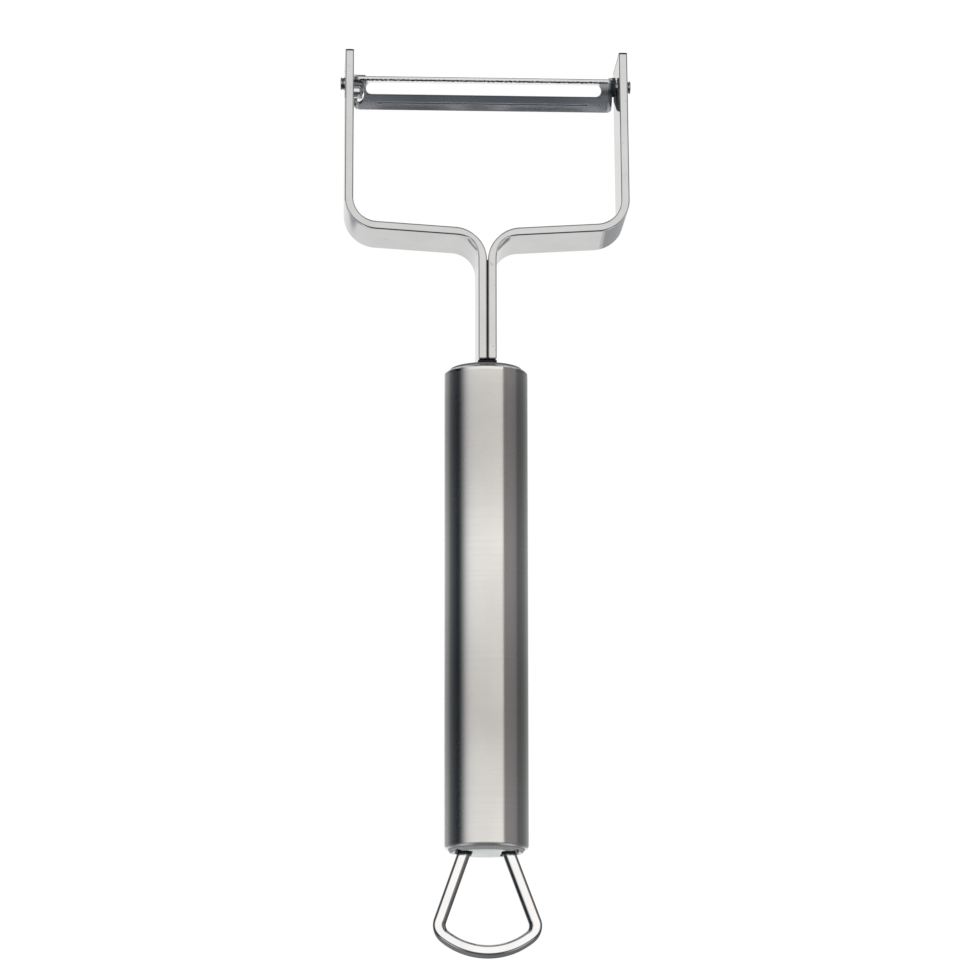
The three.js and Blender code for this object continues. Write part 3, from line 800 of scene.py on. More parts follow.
def blade_side():
    """Trim of the sheet and ears in (y, z): the bow's arc, closed round the pivot's boss."""
    outside = BOW_RADIUS + CUT_MARGIN
    inside = BOW_RADIUS - BLADE_SHEET
    top_inner = polar(*BOW_CENTRE, inside, BLADE_TOP_TILT)
    low_inner = polar(*BOW_CENTRE, inside, BLADE_LOW_TILT)
    top_touch = boss_tangent(top_inner, 1)
    low_touch = boss_tangent(low_inner, -1)
    start = math.atan2(top_touch[1], top_touch[0] - PIVOT_HEIGHT)
    end = math.atan2(low_touch[1], low_touch[0] - PIVOT_HEIGHT)
    end = end if end < start else end - 2 * math.pi
    outline = [top_inner]
    outline += arc(PIVOT_HEIGHT, 0, EAR_BOSS_DIAMETER / 2, start, end, 4 * FILLET_STEPS)
    outline.append(low_inner)
    low = QUARTER + BLADE_LOW_TILT
    top = QUARTER + BLADE_TOP_TILT
    outline += arc(*BOW_CENTRE, outside, low, top, 8 * FILLET_STEPS)
    return outline


def on_face(x, along, out, tilt):
    """Point on the blade at a tilt: along runs up the face, out stands off it."""
    y, z = polar(*BOW_CENTRE, BOW_RADIUS + out, tilt)
    return x, y + along * math.cos(tilt), z + along * math.sin(tilt)


def face_section(x, outline, tilt):
    """Outline in (along, out), on the blade at a tilt and at a place along X."""
    return [on_face(x, along, out, tilt) for along, out in outline]


def peel_slot():
    """Long slot with round ends, straight through the sheet."""
    tilt = (SLOT_TOP_TILT + SLOT_LOW_TILT) / 2
    corner = (SLOT_WIDTH - ROUND_END_FLAT) / 2
    outline = rounded_rectangle(2 * SLOT_END, SLOT_WIDTH, corner, 4 * FILLET_STEPS)
    ends = (-PIVOT_BEHIND_FACE, PIVOT_BEHIND_FACE)
    return lofted("peel_slot", [[on_face(x, along, out, tilt) for x, along in outline] for out in ends])


def uneven(x, pitch):
    """Uneven waves between -1 and 1, which never fall in step."""
    phase = 2 * math.pi * x / pitch
    waves = [height * math.sin(pace * phase + start) for height, pace, start in EDGE_TOOTH_WAVES]
    return sum(waves) / sum(height for height, _, _ in EDGE_TOOTH_WAVES)


def edge_line():
    """Uneven line that the grinding of the cutting edge leaves along the lip."""
    steps = round(2 * EDGE_LINE_END / EDGE_TOOTH_PITCH * EDGE_STEPS_PER_TOOTH)
    flare = (EDGE_LINE_DEPTH + EDGE_LINE_CLEAR) / EDGE_LINE_DEPTH
    rings = []
    for x in evenly(-EDGE_LINE_END, EDGE_LINE_END, steps):
        width = (EDGE_LINE_HALF_WIDTH + EDGE_TOOTH_DEPTH * uneven(x, EDGE_TOOTH_PITCH)) * flare
        drift = EDGE_DRIFT_SHARE * EDGE_TOOTH_DEPTH * uneven(x, EDGE_DRIFT_PITCH)
        corners = [(drift, -EDGE_LINE_DEPTH)]
        corners += [(drift + width, EDGE_LINE_CLEAR), (drift - width, EDGE_LINE_CLEAR)]
        rings.append(face_section(x, corners, EDGE_LINE_TILT))
    return lofted("edge_line", rings)


def top_ease():
    """Eased front corner of the blade's top edge."""
    corners = [
        (CUT_MARGIN, -TOP_EASE_DEPTH),
        (0, -TOP_EASE_DEPTH),
        (-TOP_EASE_WIDTH, 0),
        (-TOP_EASE_WIDTH, CUT_MARGIN),
        (CUT_MARGIN, CUT_MARGIN),
    ]
    return lofted("top_ease", [face_section(x, corners, BLADE_TOP_TILT) for x in (-ARM_INNER, ARM_INNER)])


def groove_share(distance, half_width):
    """How full the groove is at a distance from its end: round at the end, with a pressed dimple."""
    short = max(1 - distance / half_width, 0)
    dimple = DIMPLE_SWELL * math.exp(-((distance - DIMPLE_PLACE) / DIMPLE_SPREAD) ** 2)
    return math.sqrt(1 - short ** 2) * (1 + dimple)


def guard_groove():
    """Long thin groove pressed in the guard."""
    tilt = (SLOT_LOW_TILT + BLADE_LOW_TILT) / 2
    half_width = math.sqrt(GROOVE_RADIUS ** 2 - (GROOVE_RADIUS - GROOVE_DEPTH) ** 2)
    steps = 2 * FILLET_STEPS
    distances = [DIMPLE_REACH * part ** GROOVE_STEP_POWER for part in evenly(0, 1, steps)[1:]]
    left = [(distance - GROOVE_END, groove_share(distance, half_width)) for distance in distances]
    right = [(-x, share) for x, share in left[::-1]]
    spread = math.asin(half_width / GROOVE_RADIUS)
    dip = arc(0, GROOVE_RADIUS - GROOVE_DEPTH, GROOVE_RADIUS, -QUARTER - spread, spread - QUARTER, steps)
    rings = []
    for x, share in left + right:
        ring = [(along * share, out * share) for along, out in dip]
        ring += [(along * share, CUT_MARGIN) for along, _ in dip[::-1]]
        rings.append(face_section(x, ring, tilt))
    return lofted("guard_groove", rings)


def stud_width(x):
    """Half width of the stop stud at a place along X."""
    past = max(x - STUD_SHOULDER, 0) / STUD_DOME_HEIGHT
    return STUD_DIAMETER / 2 * math.sqrt(max(1 - past ** 2, 0))


def stud_window():
    """Curved window in the left end that lets the blade swing about the stop stud, and follows its dome."""
    middle = QUARTER + STUD_TILT
    steps = 4 * FILLET_STEPS
    dome = evenly(STUD_SHOULDER, STUD_SHOULDER + STUD_DOME_HEIGHT, FILLET_STEPS)
    rings = []
    for x, clear in [(-ARM_OUTER, 0)] + [(x, RUNNING_GAP) for x in dome]:
        half = stud_width(x) + RUNNING_GAP
        spread = BLADE_SWING + math.asin(half / STUD_DISTANCE)
        low = middle - spread
        high = middle + spread
        outline = arc(PIVOT_HEIGHT, 0, STUD_DISTANCE - half, low, high, steps)
        outline += arc(PIVOT_HEIGHT, 0, STUD_DISTANCE + half, high, low, steps)
        rings.append([(x + clear - BLADE_SHIFT, y - BLADE_DROP, z) for y, z in outline])
    return lofted("stud_window", rings)


def ear_ring():
    """Ring round the collar, outside the right ear; the blade's finish paints it dark and matt all over, as
    painted shade round the pivot.
    """
    bore = PIVOT_COLLAR_DIAMETER / 2 + RUNNING_GAP
    ends = (BLADE_END - SEAT_GAP, BLADE_END + EAR_RING_LENGTH)
    return sleeve("ear_ring", bore, bore + EAR_RING_WALL, *ends, (PIVOT_IN_BLADE, 0))


def ear_hub():
    """Ring round the rivet's end, inside the left ear."""
    bore = PIVOT_PEEN_DIAMETER / 2 + RUNNING_GAP
    seat = BLADE_SHEET - BLADE_END
    return sleeve("ear_hub", bore, bore + HUB_WALL, seat - SEAT_GAP, seat + HUB_LENGTH, (PIVOT_IN_BLADE, 0))


def ear_gusset():
    """Thick sector of the left ear behind the stop stud."""
    bore = PIVOT_PEEN_DIAMETER / 2 + RUNNING_GAP
    low, high = (QUARTER + tilt for tilt in GUSSET_TILTS)
    outline = arc(PIVOT_IN_BLADE, 0, bore, low, high, 2 * FILLET_STEPS)
    outline += arc(PIVOT_IN_BLADE, 0, GUSSET_RADIUS, high, low, 2 * FILLET_STEPS)
    return prism_across("ear_gusset", outline, SEAT_GAP - BLADE_END, GUSSET_LENGTH - BLADE_END)


def peeling_blade():
    """Bowed sheet with two ears, slot, ground edge and groove, and what is pressed on its ears."""
    blade = bow_drum("bowed_blade", BOW_RADIUS, BLADE_END, EAR_BEND_RADIUS)
    inside = [size - BLADE_SHEET for size in (BOW_RADIUS, BLADE_END, EAR_BEND_RADIUS)]
    cut(blade, [bow_drum("hollow", *inside)])
    cut(blade, [prism_across("trim", blade_side(), -ARM_INNER, ARM_INNER)], "INTERSECT")
    shank = PIVOT_SHANK_DIAMETER / 2 + RUNNING_GAP
    pivot_hole = sleeve("pivot_hole", 0, shank, -ARM_INNER, ARM_INNER, (PIVOT_IN_BLADE, 0))
    cut(blade, [peel_slot(), edge_line(), top_ease(), guard_groove(), stud_window(), pivot_hole])
    for pressed in (ear_ring(), ear_hub(), ear_gusset()):
        joined(blade, pressed)
    blade.data.transform(Matrix.Translation(Vector((BLADE_SHIFT, BLADE_DROP, 0)) * MM))
    return soften(blade, BLADE_SHARP_ANGLE)


# Rivets and stud

def pivot_rivet(name, side):
    """Head outside the strip, collar between strip and ear, peened end inside the ear."""
    shank = PIVOT_SHANK_DIAMETER / 2
    head = PIVOT_HEAD_DIAMETER / 2
    peen = PIVOT_PEEN_DIAMETER / 2
    collar = PIVOT_COLLAR_DIAMETER / 2
    top = ARM_OUTER + PIVOT_HEAD_HEIGHT
    ear = BLADE_END + side * BLADE_SHIFT
    arm = ARM_INNER - RIGHT_ARM_LEAN if side > 0 else ARM_INNER
    peen_seat = ear - BLADE_SHEET - RUNNING_GAP
    peen_end = peen_seat - PIVOT_PEEN_HEIGHT
    waist = ARM_OUTER + PIVOT_HEAD_HEIGHT / 2
    profile = [(0, peen_end)]
    profile += arc(peen - PIN_CHAMFER, peen_end + PIN_CHAMFER, PIN_CHAMFER, -QUARTER, 0, FILLET_STEPS)
    profile += [(peen, peen_seat), (shank, peen_seat), (shank, ear + RUNNING_GAP / 2)]
    profile += [(collar, ear + RUNNING_GAP / 2), (collar, arm - SEAT_GAP / 2), (shank, arm - SEAT_GAP / 2)]
    profile += [(shank, ARM_OUTER), (head, ARM_OUTER)]
    profile += [(head, waist - PIN_CHAMFER), (head - PIN_CHAMFER, waist), (head, waist + PIN_CHAMFER)]
    profile += arc(head - PIN_CHAMFER, top - PIN_CHAMFER, PIN_CHAMFER, 0, QUARTER, FILLET_STEPS)
    profile.append((0, top))
    sided = [(radius, side * reach) for radius, reach in profile]
    return soften(turned(name, sided, PIN_SIDES, "X", (PIVOT_HEIGHT, 0)))


def stop_stud():
    """Domed pin with its pressed end on the outside of the left strip."""
    radius = STUD_DIAMETER / 2
    pressed = -ARM_OUTER - STUD_END_PROUD
    profile = [(0, pressed), (radius - STUD_END_PROUD, pressed), (radius, -ARM_OUTER)]
    for angle in evenly(0, QUARTER, 2 * FILLET_STEPS)[:-1]:
        profile.append((radius * math.cos(angle), STUD_SHOULDER + STUD_DOME_HEIGHT * math.sin(angle)))
    profile.append((0, STUD_SHOULDER + STUD_DOME_HEIGHT))
    return soften(turned("domed_stud", profile, PIN_SIDES, "X", STUD_PLACE))


# Hanging loop

def loop_path():
    """Middle line of the loop from its left eye to its right one, as (x, y, heading)."""
    arch_y = LOOP_WIRE_WIDTH / 2 - HANDLE_LENGTH - LOOP_REACH + LOOP_BOTTOM_RADIUS
    start = LEG_TOP - LEG_OUTWARD * LOOP_CORNER_RADIUS - Vector((0, arch_y))
    reach = LOOP_BOTTOM_RADIUS - LOOP_CORNER_RADIUS
    slope = start.dot(LEG_ALONG)
    run = math.sqrt(slope ** 2 + reach ** 2 - start.length_squared) - slope
    corner = start + LEG_ALONG * run
    eye = LEG_TOP - LEG_ALONG * (AXLE_DEPTH / math.cos(LOOP_LEG_SLANT))
    turn = math.asin(corner.x / reach) - QUARTER
    right = [(eye.x, eye.y, QUARTER + LOOP_LEG_SLANT)]
    right += bend(corner.x, corner.y + arch_y, LOOP_CORNER_RADIUS, LOOP_LEG_SLANT, turn, QUARTER)
    right += bend(0, arch_y, LOOP_BOTTOM_RADIUS, turn, -QUARTER, QUARTER)
    left = [(-x, y, -heading) for x, y, heading in right[:-1]]
    return left + right[::-1]


def eased_corner(before, corner, after, radius, steps):
    """Points that round a corner off, as a curve between the two sides."""
    corner = Vector(corner)
    start = corner + (Vector(before) - corner).normalized() * radius
    end = corner + (Vector(after) - corner).normalized() * radius
    parts = evenly(0, 1, steps)
    return [tuple(start * (1 - t) ** 2 + corner * 2 * t * (1 - t) + end * t ** 2) for t in parts]


def loop_section(leg):
    """Pressed wire, more like a leg or like the arch: a flat front, and sides that widen towards the back."""
    def eased(straight, arch):
        return arch + (straight - arch) * leg

    high = LOOP_WIRE_DEPTH / 2
    half = LOOP_WIRE_WIDTH / 2
    inner, outer = map(eased, LOOP_LEG_FLAT, LOOP_ARCH_FLAT)
    inner_level, outer_level = map(eased, LOOP_LEG_WIDEST, LOOP_ARCH_WIDEST)
    corners = [
        (outer, high),
        (inner, high),
        (-half, inner_level),
        (-half, -high),
        (half, -high),
        (half, outer_level),
    ]
    outline = []
    for index, corner in enumerate(corners):
        after = corners[(index + 1) % len(corners)]
        outline += eased_corner(corners[index - 1], corner, after, LOOP_EDGE_RADIUS, FILLET_STEPS)
    return outline


def hanging_loop():
    """Wire loop with an eye at the end of each leg, which turns on the axle inside the cap."""
    rings = []
    for x, y, heading in loop_path():
        leg = abs(math.sin(heading)) ** LEG_BLEND_POWER
        lean = LOOP_LEAN * max(-HANDLE_LENGTH - y, 0)
        rings.append(section_at(x + lean, y, heading, loop_section(leg)))
    loop = lofted("wire_loop", rings)
    axle = (AXLE_PLACE, 0)
    half = LOOP_WIRE_WIDTH / 2
    eye_x = loop_path()[-1][0]
    for middle in (eye_x, -eye_x):
        eye = sleeve("eye", 0, LOOP_EYE_DIAMETER / 2, middle - half, middle + half, axle)
        cut(loop, [eye], "UNION")
    bore = AXLE_DIAMETER / 2 + RUNNING_GAP
    cut(loop, [sleeve("eye_bore", 0, bore, -HANDLE_RADIUS, HANDLE_RADIUS, axle)])
    return soften(loop)


# Shader parts

def feed(tree, value, socket):
    """Links an output to a socket, or sets the socket to a number or to a colour of three numbers."""
    if isinstance(value, (int, float)):
        socket.default_value = value
    elif isinstance(value, tuple):
        socket.default_value = (*value, 1)
    else:
        tree.links.new(value, socket)


def set_inputs(node, values):
    """Sets sockets by their labels, which have _ for a space."""
    for label, value in values.items():
        node.inputs[label.replace("_", " ")].default_value = value


def math_in(tree, operation, *values):
    """Math node on numbers or outputs."""
    node = tree.nodes.new("ShaderNodeMath")
    node.operation = operation
    for socket, value in zip(node.inputs, values):
        feed(tree, value, socket)
    return node.outputs[0]


def over(tree, value, limit):
    return math_in(tree, "GREATER_THAN", value, limit)


def under(tree, value, limit):
    return math_in(tree, "LESS_THAN", value, limit)


def all_of(tree, first, *others):
    """Where all masks meet."""
    for other in others:
        first = math_in(tree, "MULTIPLY", first, other)
    return first


def added_to(tree, base, *masks):
    """A base with masks added to it, each a mask and its share."""
    for mask, share in masks:
        base = math_in(tree, "MULTIPLY_ADD", mask, share, base)
    return base


def range_in(tree, value, low, high, to_low=0, to_high=1):
    """to_low where a value is low and to_high where it is high, straight between and level beyond."""
    node = tree.nodes.new("ShaderNodeMapRange")
    for socket, given in zip(node.inputs, (value, low, high, to_low, to_high)):
        feed(tree, given, socket)
    return node.outputs["Result"]


def noise_in(tree, vector, scale, detail):
    node = tree.nodes.new("ShaderNodeTexNoise")
    for label, value in (("Vector", vector), ("Scale", scale), ("Detail", detail)):
        feed(tree, value, node.inputs[label])
    return node.outputs["Fac"]


def mix_in(tree, share, first, second, kind="RGBA", way="MIX"):
    """Mix of two colours, or of two numbers where the kind is FLOAT."""
    node = tree.nodes.new("ShaderNodeMix")
    node.data_type = kind
    node.blend_type = way
    for label, value in (("Factor", share), ("A", first), ("B", second)):
        feed(tree, value, node.inputs[label])
    return node.outputs["Result"]


def ramp_in(tree, value, stops):
    """Colours that follow an angle, from stops in degrees."""
    low = stops[0][0]
    high = stops[-1][0]
    node = tree.nodes.new("ShaderNodeValToRGB")
    elements = node.color_ramp.elements
    while len(elements) < len(stops):
        elements.new(0.5)
    for element, (angle, colour) in zip(elements, stops):
        element.position = (angle - low) / (high - low)
        element.color = (*colour, 1)
    feed(tree, range_in(tree, value, math.radians(low), math.radians(high)), node.inputs["Fac"])
    return node.outputs["Color"]


def parts_in(tree, vector):
    """X, Y and Z of a vector."""
    node = tree.nodes.new("ShaderNodeSeparateXYZ")
    feed(tree, vector, node.inputs[0])
    return node.outputs


# Node groups of the finishes

def group_with(name, inputs, outputs):
    """Empty node group that takes a position and other named inputs, and puts out named values."""
    group = bpy.data.node_groups.new(name, "ShaderNodeTree")
    for label, kind, value in [("Position", "NodeSocketVector", (0, 0, 0)), *inputs]:
        socket = group.interface.new_socket(name=label, in_out="INPUT", socket_type=kind)
        socket.default_value = value
    for label in outputs:
        group.interface.new_socket(name=label, in_out="OUTPUT", socket_type="NodeSocketFloat")
    return group, group.nodes.new("NodeGroupInput").outputs, group.nodes.new("NodeGroupOutput").inputs


def zone_group(name, *labels):
    """Empty node group for masks, with the place on a piece in the builders' millimetres."""
    group, given, made = group_with(name, [], labels)
    local = group.nodes.new("ShaderNodeVectorMath")
    local.operation = "MULTIPLY_ADD"
    feed(group, given["Position"], local.inputs[0])
    local.inputs[1].default_value = (1 / MM, 1 / MM, 1 / MM)
    local.inputs[2].default_value = -FRAME_ORIGIN / MM
    x, y, z = parts_in(group, local.outputs[0])
    return group, x, y, z, made


def brushed_lines_group():
    """Fine lines drawn out along one direction: stretch is how often they change along X, Y and Z."""
    stretch = ("Stretch", "NodeSocketVector", (1, 1, 1))
    group, given, made = group_with("brushed_lines", [stretch], ["Fine", "Broad"])
    drawn = group.nodes.new("ShaderNodeVectorMath")
    drawn.operation = "MULTIPLY"
    feed(group, given["Position"], drawn.inputs[0])
    feed(group, given["Stretch"], drawn.inputs[1])
    for label, scale, detail in LINE_NOISES:
        feed(group, noise_in(group, drawn.outputs[0], scale, detail), made[label])
    return group


def handling_marks_group():
    """Soft clouds and small specks, for smears and nicks on steel."""
    inputs = [(label, "NodeSocketFloat", value) for label, value in USUAL_MARKS]
    group, given, made = group_with("handling_marks", inputs, ["Clouds", "Specks"])
    clouds = noise_in(group, given["Position"], given["Cloud Scale"], CLOUD_DETAIL)
    specks = noise_in(group, given["Position"], given["Speck Scale"], SPECK_DETAIL)
    feed(group, clouds, made["Clouds"])
    feed(group, range_in(group, specks, given["Speck Limit"], SPECK_FULL), made["Specks"])
    return group


def handle_zones_group():
    """Along the handle: painted sheen in slow light and dark waves, lighter towards the front, and the
    polished front end.
    """
    group, _, y, _, made = zone_group("handle_zones", "Wave", "End")
    turns = 2 * math.pi / SHEEN_WAVE_LENGTH
    angle = math_in(group, "MULTIPLY_ADD", y, turns, -SHEEN_WAVE_CREST * turns)
    wave = range_in(group, math_in(group, "COSINE", angle), -1, 1)
    front = range_in(group, y, -FRONT_SHEEN_LENGTH, 0)
    feed(group, added_to(group, wave, (front, FRONT_SHEEN_LIFT)), made["Wave"])
    feed(group, range_in(group, y, -END_POLISH, END_POLISH_BLUR - END_POLISH), made["End"])
    return group


def blade_places(group, x, y, z):
    """Places on the blade: side and reach from its middle, tilt about the bow, depth below its face."""
    side = math_in(group, "SUBTRACT", x, BLADE_SHIFT)
    reach = math_in(group, "ABSOLUTE", side)
    across = math_in(group, "SUBTRACT", BOW_CENTRE[0] + BLADE_DROP, y)
    up = math_in(group, "SUBTRACT", z, BOW_CENTRE[1])
    tilt = math_in(group, "ARCTAN2", across, up)
    squares = math_in(group, "MULTIPLY_ADD", across, across, math_in(group, "MULTIPLY", up, up))
    depth = math_in(group, "SUBTRACT", BOW_RADIUS, math_in(group, "SQRT", squares))
    return side, reach, tilt, depth


def ground_edge(group, reach, tilt, depth):
    """Where the cutting edge is ground."""
    return all_of(
        group,
        over(group, depth, GROUND_DEPTHS[0]),
        under(group, depth, GROUND_DEPTHS[1]),
        under(group, tilt, SLOT_TOP_TILT - GROUND_MARGIN),
        under(group, reach, EDGE_LINE_END),
    )


def groove_shade(group, reach, tilt, depth):
    """Inside of the guard's groove, where its colour is darkened as painted shade."""
    return all_of(
        group,
        range_in(group, depth, *GROOVE_SHADE_DEPTHS),
        under(group, depth, GROOVE_DEEPEST),
        over(group, tilt, SLOT_LOW_TILT + GROOVE_MARGIN),
        under(group, reach, GROOVE_END + GROOVE_DEPTH),
    )


def blade_shades(group, side, reach, tilt):
    """Shade on the lip above its ground line, on both ends of the slot and along the guard's rim."""
    below_line = range_in(group, tilt, EDGE_LINE_TILT - LIP_BLUR, EDGE_LINE_TILT)
    lip = math_in(group, "MULTIPLY_ADD", below_line, -LIP_SHADE, LIP_SHADE)
    left_end = all_of(
        group,
        range_in(group, side, LEFT_END_BLUR - SLOT_END, -SLOT_END),
        range_in(group, tilt, LEFT_END_FADE * SLOT_TOP_TILT, SLOT_TOP_TILT),
        below_line,
    )
    right_start = SLOT_END - RIGHT_END_OVERLAP
    right_end = all_of(
        group,
        range_in(group, side, right_start, right_start + RIGHT_END_BLUR),
        range_in(group, tilt, SLOT_LOW_TILT, RIGHT_END_FADE * SLOT_LOW_TILT),
        below_line,
    )
    rim_start, rim_end = (SLOT_LOW_TILT + margin for margin in GUARD_RIM_REACH)
    rim = all_of(
        group,
        over(group, tilt, SLOT_LOW_TILT - GUARD_RIM_MARGIN),
        range_in(group, tilt, rim_end, rim_start),
        under(group, reach, SLOT_END),
    )
    ends = ((left_end, LEFT_END_SHADE), (right_end, RIGHT_END_SHADE))
    return added_to(group, lip, *ends, (rim, GUARD_RIM_SHADE))


def guard_dulls(group, side, reach, tilt):
    """Dull steel towards both ends of the blade and on the guard's lower right."""
    ends = range_in(group, reach, BLADE_END / 2, BLADE_END)
    low_right = all_of(
        group,
        range_in(group, tilt, (SLOT_LOW_TILT + BLADE_LOW_TILT) / 2, BLADE_LOW_TILT),
        range_in(group, side, 0, BLADE_END / 2),
    )
    return ((ends, GUARD_END_DULL), (low_right, GUARD_LOW_DULL))


def blade_zones_group():
    """On the blade: the ground cutting edge, the groove, shaded places and dull ones."""
    group, x, y, z, made = zone_group("blade_zones", "Ground", "Groove", "Shaded", "Dull")
    side, reach, tilt, depth = blade_places(group, x, y, z)
    # Painted shade: the ring outside the right ear is dark and matt all over.
    ear_ring_shade = over(group, side, BLADE_END + SEAT_GAP / 2)
    shades = blade_shades(group, side, reach, tilt)
    feed(group, ground_edge(group, reach, tilt, depth), made["Ground"])
    feed(group, groove_shade(group, reach, tilt, depth), made["Groove"])
    feed(group, math_in(group, "ADD", shades, ear_ring_shade), made["Shaded"])
    feed(group, added_to(group, ear_ring_shade, *guard_dulls(group, side, reach, tilt)), made["Dull"])
    return group


def slot_shade_group():
    """Painted shade on the loop's legs where they enter the cap."""
    group, _, y, _, made = zone_group("slot_shade", "Shade")
    mouth = -HANDLE_LENGTH - REAR_CAP_HEIGHT
    feed(group, range_in(group, y, mouth - SLOT_SHADE, mouth), made["Shade"])
    return group


def wire_side_shade_group():
    """Painted shade on the sides of the loop's wire, between its pressed flats."""
    group, _, _, z, made = zone_group("wire_side_shade", "Shade")
    high = LOOP_WIRE_DEPTH / 2
    level = math_in(group, "ABSOLUTE", z)
    feed(group, range_in(group, level, high - WIRE_FLAT_LEVEL, high - WIRE_SIDE_LEVEL), made["Shade"])
    return group


def blade_reflection_group():
    """Painted reflection: a dark image of the blade's end, painted on the inner side of the arms beside it.
    """
    group, x, y, z, made = zone_group("blade_reflection", "Shade")
    ahead = math_in(group, "SUBTRACT", PIVOT_HEIGHT, y)
    below = math_in(group, "MULTIPLY_ADD", z, -IMAGE_LEAN, ahead)
    back_edge = math_in(group, "MULTIPLY_ADD", z, IMAGE_BACK_SLOPE, IMAGE_REACH)
    front_edge = math_in(group, "MULTIPLY_ADD", z, IMAGE_FRONT_SLOPE, IMAGE_REACH)
    short = math_in(group, "SUBTRACT", math_in(group, "MINIMUM", back_edge, front_edge), below)
    image = all_of(
        group,
        range_in(group, short, 0, IMAGE_BLUR),
        range_in(group, below, IMAGE_TOP, IMAGE_TOP + IMAGE_BLUR),
        under(group, math_in(group, "ABSOLUTE", x), ARM_OUTER - STRIP_THICKNESS / 2),
        under(group, z, STRIP_DEPTH / 2 - STRIP_EDGE_RADIUS),
    )
    feed(group, image, made["Shade"])
    return group


def strip_tip_shade_group():
    """Painted shade on the top ends of the strips."""
    group, _, y, _, made = zone_group("strip_tip_shade", "Shade")
    start = TIP_HEIGHT - TIP_SHADE
    feed(group, range_in(group, y, start, start + TIP_BLUR), made["Shade"])
    return group


def cap_edge_shade_group(name, mouth, way, edge, shares):
    """Painted shade, matt and dark, on the round edge of a cap, from the tube's mouth along +Y or -Y (way 1
    or -1) up to its shares.
    """
    group, _, y, _, made = zone_group(name, "Shade")
    low, high = (share * edge for share in shares)
    out = math_in(group, "MULTIPLY_ADD", y, way, -way * mouth)
    feed(group, range_in(group, out, high, low), made["Shade"])
    return group


BRUSHED_LINES = brushed_lines_group()
HANDLING_MARKS = handling_marks_group()


# Materials

class Finish:
    """A material with its Principled shader, and short ways to build its nodes."""

    def __init__(self, name, **values):
        self.material = bpy.data.materials.new(name)
        self.material.use_nodes = True
        self.tree = self.material.node_tree
        self.shader = self.tree.nodes["Principled BSDF"]
        self.position = self.tree.nodes.new("ShaderNodeTexCoord").outputs["Object"]
        set_inputs(self.shader, values)

    def group(self, group, **values):
        """Outputs of a node group, placed with its own values."""
        node = self.tree.nodes.new("ShaderNodeGroup")
        node.node_tree = group
        feed(self.tree, self.position, node.inputs["Position"])
        set_inputs(node, values)
        return node.outputs

    def spread(self, noise, low, high, middle=NOISE_MIDDLE):
        """Noise whose middle runs from low to high."""
        return range_in(self.tree, noise, *middle, low, high)

    def part(self, mask, share):
        """A mask at a share of its strength."""
        return range_in(self.tree, mask, 0, 1, 0, share)

    def mix(self, share, first, second, kind="RGBA"):
        return mix_in(self.tree, share, first, second, kind)

    def bump(self, height, depth, strength):
        node = self.tree.nodes.new("ShaderNodeBump")
        set_inputs(node, {"Distance": depth * MM, "Strength": strength})
        feed(self.tree, height, node.inputs["Height"])
        self.feed("Normal", node.outputs["Normal"])

    def feed(self, label, value):
        feed(self.tree, value, self.shader.inputs[label])


def brushed_handle_steel():
    """Steel brushed round the handle, so that reflections spread along it and stay crisp across."""
    finish = Finish("brushed_handle_steel", Metallic=1.0, Anisotropic=1.0, Anisotropic_Rotation=LINE_TURN)
    tangent = finish.tree.nodes.new("ShaderNodeTangent")
    tangent.direction_type = "RADIAL"
    tangent.axis = "Y"
    finish.feed("Tangent", tangent.outputs["Tangent"])
    lines = finish.group(BRUSHED_LINES, Stretch=HANDLE_LINES)
    marks = finish.group(HANDLING_MARKS, Cloud_Scale=HANDLE_CLOUDS)
    zones = finish.group(handle_zones_group())
    # Painted sheen: the handle's colour runs between its two tones in slow waves along it.
    colour = finish.mix(zones["Wave"], *HANDLE_SHEEN_TONES)
    colour = finish.mix(finish.spread(lines["Fine"], 0, LINE_SHARE), colour, FINE_LINE_TONE)
    colour = finish.mix(finish.spread(lines["Broad"], 0, LINE_SHARE), colour, BROAD_LINE_TONE)
    finish.feed("Base Color", finish.mix(finish.part(zones["End"], END_SHARE), colour, END_TONE))
    brushed = finish.spread(marks["Clouds"], *HANDLE_ROUGHNESS)
    finish.feed("Roughness", finish.mix(zones["End"], brushed, END_ROUGHNESS, "FLOAT"))
    finish.bump(lines["Fine"], LINE_BUMP_DEPTH, HANDLE_BUMP)
    return finish.material


def polished_steel(name, tones, roughness, nicks, *matt_shades, darker=()):
    """Polished steel with faint smears and a few nicks.

    Each pair after the nicks is a shade group and the matt dark tone painted there as shade; a pair in darker
    paints its shade and keeps the polish.
    """
    finish = Finish(name, Specular_IOR_Level=0.0)
    scales = {"Cloud_Scale": POLISH_CLOUDS, "Speck_Scale": POLISH_SPECKS}
    marks = finish.group(HANDLING_MARKS, **scales, Speck_Limit=POLISH_SPECK_LIMIT)
    colour = finish.mix(finish.spread(marks["Clouds"], 0, 1), *tones)
    colour = finish.mix(finish.part(marks["Specks"], nicks), colour, NICK_TONE)
    for group, tone in darker:
        colour = finish.mix(finish.group(group)["Shade"], colour, tone)
    bare = 1.0
    for group, tone in matt_shades:
        dark = finish.group(group)["Shade"]
        colour = finish.mix(dark, colour, tone)
        bare = math_in(finish.tree, "MULTIPLY", bare, math_in(finish.tree, "SUBTRACT", 1.0, dark))
    finish.feed("Base Color", colour)
    finish.feed("Metallic", bare)
    finish.feed("Roughness", finish.spread(marks["Clouds"], roughness, roughness * SMEAR_ROUGHNESS))
    finish.bump(marks["Clouds"], SMEAR_BUMP_DEPTH, SMEAR_BUMP)
    return finish.material


def satin_cap_steel(name, edge_shade_group, tone):
    """Satin steel of a cap, with painted shade, matt and dark, on its round edge."""
    return polished_steel(name, CAP_TONES, CAP_ROUGHNESS, CAP_NICKS, (edge_shade_group, tone))


